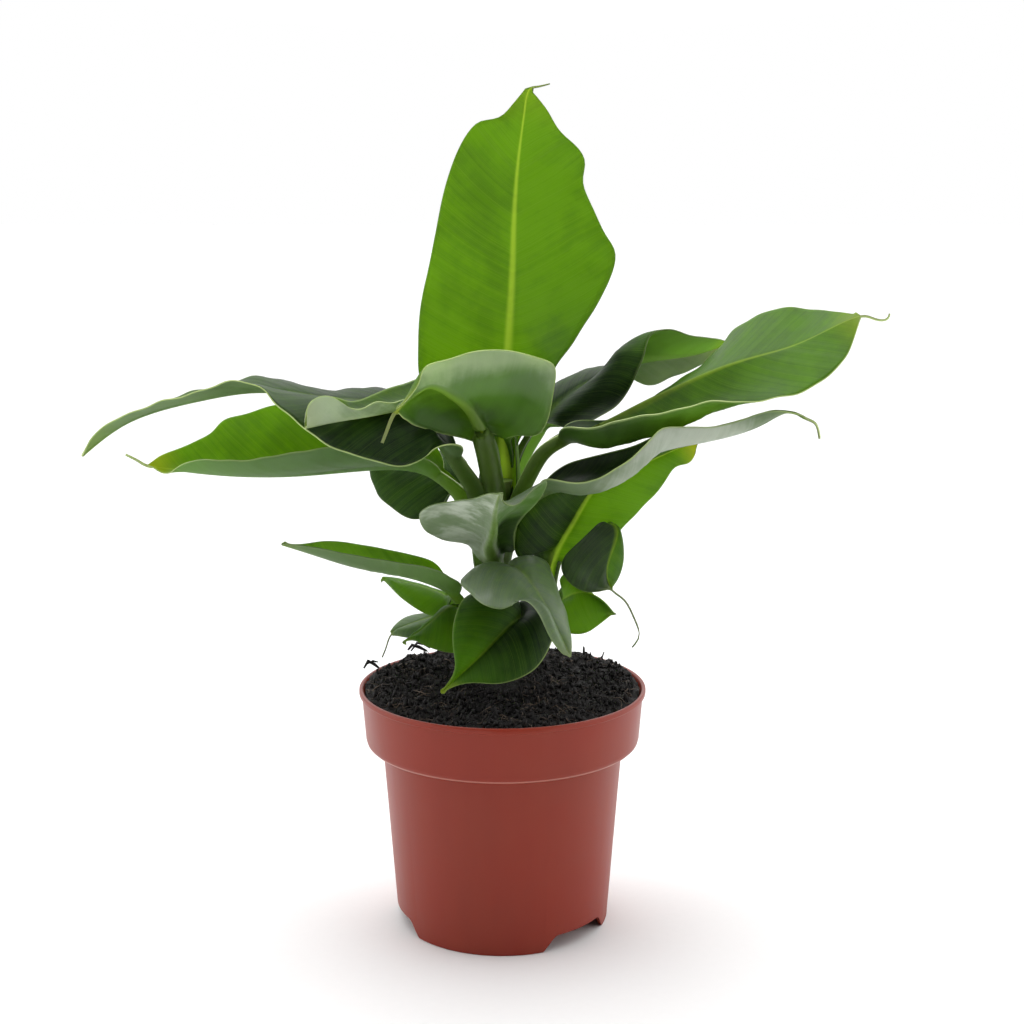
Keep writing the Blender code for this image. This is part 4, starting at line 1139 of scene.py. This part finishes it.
def cut_out(target, cutters):
    """Takes the cutters out of target for good and removes them."""
    for cutter in cutters:
        change = target.modifiers.new(cutter.name, "BOOLEAN")
        change.operation = "DIFFERENCE"
        change.solver = "EXACT"
        change.object = cutter
    graph = bpy.context.evaluated_depsgraph_get()
    mesh = bpy.data.meshes.new_from_object(target.evaluated_get(graph))
    target.modifiers.clear()
    target.data = mesh
    for cutter in cutters:
        bpy.data.objects.remove(cutter, do_unlink=True)


def notch_cutter(name, turn):
    """A block with sloping ends that reaches across the pot's foot wall."""
    out = np.array([math.cos(turn), math.sin(turn), 0])
    over = np.array([-math.sin(turn), math.cos(turn), 0])
    rise = np.array([0, 0, 1.0])
    wide = NOTCH_WIDTH / 2
    narrow = wide - NOTCH_SLOPE
    outline = rounded([(-wide, -1), (wide, -1), (narrow, NOTCH_HEIGHT), (-narrow, NOTCH_HEIGHT)],
                      (0, 0, 1.6, 1.6))
    count = len(outline)
    points = [out * (FOOT_RADIUS + reach) + over * a + rise * b for reach in NOTCH_REACH
              for a, b in outline]
    faces = [list(reversed(range(count))), [count + k for k in range(count)]]
    faces += [[k, (k + 1) % count, count + (k + 1) % count, count + k] for k in range(count)]
    return object_from(name, points, faces, [])


def rim_flash(turn, radius, height):
    """The small step that the mould left in the lip's lower edge at the front."""
    from_front = math.degrees(turn) - 270
    lip = POT_HEIGHT - LIP_HEIGHT
    if radius < RIM_RADIUS - 2 or not lip - 1.5 <= height < lip + 0.8:
        return 0.0
    start, end = FLASH_SPAN
    inside = min(max((from_front - start) / FLASH_FADE, 0), 1)
    return FLASH_STEP * inside * min(max((end - from_front) / FLASH_FADE, 0), 1)


def make_pot():
    """The moulded pot over its solid: finer, with rounded edges and a painted highlight line on the
    band's lower edge.
    """
    lip = POT_HEIGHT - LIP_HEIGHT
    ledge = BAND_BOTTOM + WALL
    top = FLOOR_LIFT + WALL
    foot_inside = FOOT_RADIUS - WALL
    slope_end = PLUG_RADIUS + PLUG_SLOPE
    outline = [
        (0, 0), (PLUG_RADIUS, 0), (slope_end, FLOOR_LIFT), (foot_inside - WALL, FLOOR_LIFT),
        (foot_inside, 0), (FOOT_RADIUS, 0), (BODY_TOP_RADIUS, BAND_BOTTOM),
        (BAND_RADIUS, BAND_BOTTOM), (RIM_RADIUS - LIP_OUT, lip), (RIM_RADIUS, lip + 0.2),
        (RIM_RADIUS, POT_HEIGHT), (RIM_RADIUS - 1.6, POT_HEIGHT), (inner_wall(lip), lip),
        (inner_wall(ledge), ledge), (BODY_TOP_RADIUS - WALL, ledge), (inner_wall(top), top),
        (slope_end, top), (PLUG_RADIUS, WALL), (0, WALL)]
    radii = (0, 2, 2, 1.2, 0.5, 2.4, 0.5, 3.6, 0.5, 0.6, 0.9, 0.8, 0.5, 0.5, 0.5, 1.0, 1.0, 1.0, 0)
    pot = turned("pot_shell", rounded(outline, radii), [pot_surface()], POT_SIDES, rim_flash)
    cutters = []
    for n in range(NOTCHES):
        turn = math.radians(-90 + NOTCH_TURN + 360 * n / NOTCHES)
        cutters.append(notch_cutter(f"notch_{n}", turn))
    for n in range(DRAINS):
        turn = 2 * math.pi * (n + 0.5) / DRAINS
        drain = turned(f"drain_{n}", [(0, FLOOR_LIFT - 2), (DRAIN_RADIUS, FLOOR_LIFT - 2),
                                      (DRAIN_RADIUS, FLOOR_LIFT + 3), (0, FLOOR_LIFT + 3)], [], 32)
        drain.location = (DRAIN_CIRCLE * MM * math.cos(turn), DRAIN_CIRCLE * MM * math.sin(turn), 0)
        cutters.append(drain)
    cut_out(pot, cutters)
    pot.data.set_sharp_from_angle(angle=math.radians(50))
    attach(pot, "root")
    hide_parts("pot")


def soil_height(x, y):
    """The top of the soil in millimetres at a place."""
    outer = inner_wall(SOIL_FRONT)
    rise = SOIL_RISE * max(0.5 + 0.5 * y / outer, 0.0) ** 0.7
    coarse = noise.fractal(Vector((x / 9, y / 9, 3.0)), 0.6, 2.0, 4)
    fine = noise.fractal(Vector((x / 2.2, y / 2.2, 8.0)), 0.7, 2.0, 3)
    edge = max(0.0, (math.hypot(x, y) - outer + 9) / 9)
    sunk = 1.0 * (0.5 - 0.5 * y / outer)
    return SOIL_FRONT + rise + 1.3 * coarse + 0.9 * fine - sunk * edge**2


def make_soil():
    """The soil over its solid, with a crumbled top."""
    low = WALL + GAP
    bottom = FLOOR_LIFT + low
    ledge = BAND_BOTTOM + low
    shoulder = SOIL_FRONT - 3.0
    sides = [(0, low), (PLUG_RADIUS - GAP, low), (PLUG_RADIUS + PLUG_SLOPE - GAP, bottom),
             (inner_wall(bottom) - GAP, bottom), (BODY_TOP_RADIUS - low, ledge),
             (inner_wall(ledge) - GAP, ledge), (inner_wall(shoulder) - GAP, shoulder)]
    outer = inner_wall(SOIL_FRONT) - 0.1
    points = []
    rows = [ring(points, radius, SOIL_SIDES, height) for radius, height in sides]
    for n in range(SOIL_RINGS + 1):
        rows.append(ring(points, outer * (1 - (n / SOIL_RINGS) ** 1.1), SOIL_SIDES, soil_height))
    faces = between(rows)
    soil = object_from("soil_heap", points, faces, [peat_surface()])
    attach(soil, "root")
    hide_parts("soil")


def rods(lines, sides):
    """Points and faces of small bent bars, each from a line of points and a thickness."""
    points, faces = [], []
    for line, thick in lines:
        line = np.array(line, float)
        kinks = len(line) - 1
        ahead = unit(np.gradient(line, axis=0))
        side = unit(np.cross(ahead, (0, 0, 1.0)))
        up = np.cross(side, ahead)
        first = len(points)
        for step in range(kinks + 1):
            size = thick * (0.55 if step in (0, kinks) else 1.0)
            for k in range(sides):
                a = 2 * math.pi * k / sides
                points.append(line[step] + size * (math.cos(a) * side[step] + math.sin(a) * up[step]))
        for step in range(kinks):
            for k in range(sides):
                j = (k + 1) % sides
                a, b = first + step * sides, first + (step + 1) * sides
                faces.append([a + j, a + k, b + k, b + j])
        faces.append([first + k for k in range(sides)])
        faces.append([first + kinks * sides + k for k in reversed(range(sides))])
    return points, faces


def strewn(count, reach, grow, kinks):
    """Lines with thicknesses for many small bits that lie on the soil."""
    lines = []
    for _ in range(count):
        turn, far = rng.uniform(0, 2 * math.pi), reach * math.sqrt(rng.uniform(0.02, 1))
        x, y = far * math.cos(turn), far * math.sin(turn)
        heading = rng.uniform(0, 2 * math.pi)
        length, thick = grow()
        hump = abs(rng.normal(0, 0.9))
        line = []
        for s in np.linspace(0, 1, kinks + 1):
            heading += rng.normal(0, 0.4)
            px = x + math.cos(heading) * length * (s - 0.5)
            py = y + math.sin(heading) * length * (s - 0.5)
            inside = min(1.0, (reach + 1.5) / math.hypot(px, py))
            px, py = px * inside, py * inside
            line.append((px, py, soil_height(px, py) + thick * 0.6 + hump * 4 * s * (1 - s)))
        lines.append((line, thick))
    return lines


def make_litter():
    """Crumbs, twigs and fibres on the soil."""
    reach = inner_wall(SOIL_FRONT) - 2.5
    crumbs = strewn(CRUMBS, reach,
                    lambda: (rng.uniform(0.5, 1.8) ** 1.8, 0.2 + 0.9 * rng.uniform(0, 1) ** 2), 2)
    crumbs += [([seen(*point) for point in line], thick) for line, thick in TWIGS]
    fibres = strewn(FIBRES, reach + 1.0, lambda: (rng.uniform(3, 14), rng.uniform(0.1, 0.26)), 6)
    for name, lines, sides, surface in (("soil_crumbs", crumbs, 6, peat_surface()),
                                        ("soil_fibres", fibres, 5, fibre_surface())):
        made = object_from(name, *rods(lines, sides), [surface])
        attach(made, "root")


def make_stems():
    """The stems over their solids, wrapped in sheaths whose edges wind round them."""
    surface = stem_surface()
    for name, stem in STEMS.items():
        middle, _ = smooth_path(stem["path"], np.linspace(0, 1, STEM_ROWS))
        middle = np.concatenate([[middle[0] - np.array([0, 0, STEM_FOOT])], middle])
        radii = np.concatenate([[stem["radii"][0]], np.linspace(*stem["radii"], STEM_ROWS)])
        turn = np.linspace(0, 2 * math.pi, STEM_SIDES, endpoint=False)[None, :]
        height = middle[:, 2][:, None]
        wrap = 0.0
        for lead, climb, depth in SHEATH_EDGES:
            phase = (turn - lead - (height - STEM_START) / climb) % (2 * math.pi)
            wrap = wrap + depth * (1 - phase / (2 * math.pi)) ** 3
        far = radii[:, None] - STEM_INSET + wrap
        around = np.stack([np.cos(turn) * far, np.sin(turn) * far, np.zeros_like(far)], -1)
        points = (middle[:, None, :] + around).reshape(-1, 3)
        rings = np.arange(len(points)).reshape(-1, STEM_SIDES).tolist()
        faces = between(rings) + [rings[0][::-1], rings[-1]]
        made = object_from(name + "_sheaths", points, faces, [surface])
        made.data.set_sharp_from_angle(angle=math.radians(50))
        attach(made, "root")
        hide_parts(name)


def make_stage():
    """White floor, bright surroundings that are dark behind the camera, and an overhead softbox."""
    bpy.ops.mesh.primitive_plane_add(size=FLOOR_SIZE, location=(0, 0, 0))
    floor = bpy.context.object
    floor.name = "floor"
    w = Wiring(bpy.data.materials.new("white_floor"))
    grain = w.noise(w.place(), 300.0, 2.0)
    low, high = ((white, white, white, 1) for white in FLOOR_WHITE)
    w.shader.inputs["Specular IOR Level"].default_value = 0.1
    floor.data.materials.append(w.finish(w.mix(grain, low, high), 0.9))

    world = bpy.data.worlds.new("studio")
    bpy.context.scene.world = world
    w = Wiring(world)
    back = w.tree.nodes["Background"]
    back.inputs["Color"].default_value = (1, 1, 1, 1)
    x, y, z = w.node("SeparateXYZ", w.node("TexCoord").outputs["Generated"]).outputs
    front = w.ramp(y, *FRONT_RANGE, FRONT_LEVEL, 1.0)
    zenith = w.ramp(w.math("MULTIPLY_ADD", y, ZENITH_TILT, z), *ZENITH_RANGE, 0.0, ZENITH_LEVEL)
    beside = w.ramp(w.math("ABSOLUTE", x), *SIDE_RANGE, 0.0, SIDE_LEVEL)
    horizon = w.ramp(z, *HORIZON_RANGE, 1.0, 0.0)
    level = front
    for other in (zenith, beside, horizon):
        level = w.math("MAXIMUM", level, other)
    w.put(back.inputs["Strength"], level)

    light = bpy.data.lights.new("overhead", "AREA")
    light.shape = "RECTANGLE"
    light.size = light.size_y = LAMP_SIZE
    light.energy = LAMP_POWER
    lamp = bpy.data.objects.new("overhead", light)
    lamp.location = LAMP_PLACE
    aim = Vector(LAMP_AIM) - Vector(LAMP_PLACE)
    lamp.rotation_euler = aim.to_track_quat("-Z", "Y").to_euler()
    bpy.context.scene.collection.objects.link(lamp)

    eye = bpy.data.cameras.new("camera")
    eye.lens = CAMERA_LENS
    eye.sensor_width = SENSOR
    eye.clip_start = 0.01
    camera = bpy.data.objects.new("camera", eye)
    camera.location = Vector(CAMERA_PLACE) * MM
    camera.rotation_euler = (math.radians(90 - CAMERA_PITCH), 0, 0)
    bpy.context.scene.collection.objects.link(camera)
    bpy.context.scene.camera = camera
    bpy.context.scene.view_settings.view_transform = "Standard"


for leaf_name, leaf_form in LEAVES.items():
    make_leaf(leaf_name, {**leaf_form, **LOOKS[leaf_name], "margins": EDGES[leaf_name]})
make_stems()
make_pot()
make_soil()
make_litter()
make_stage()
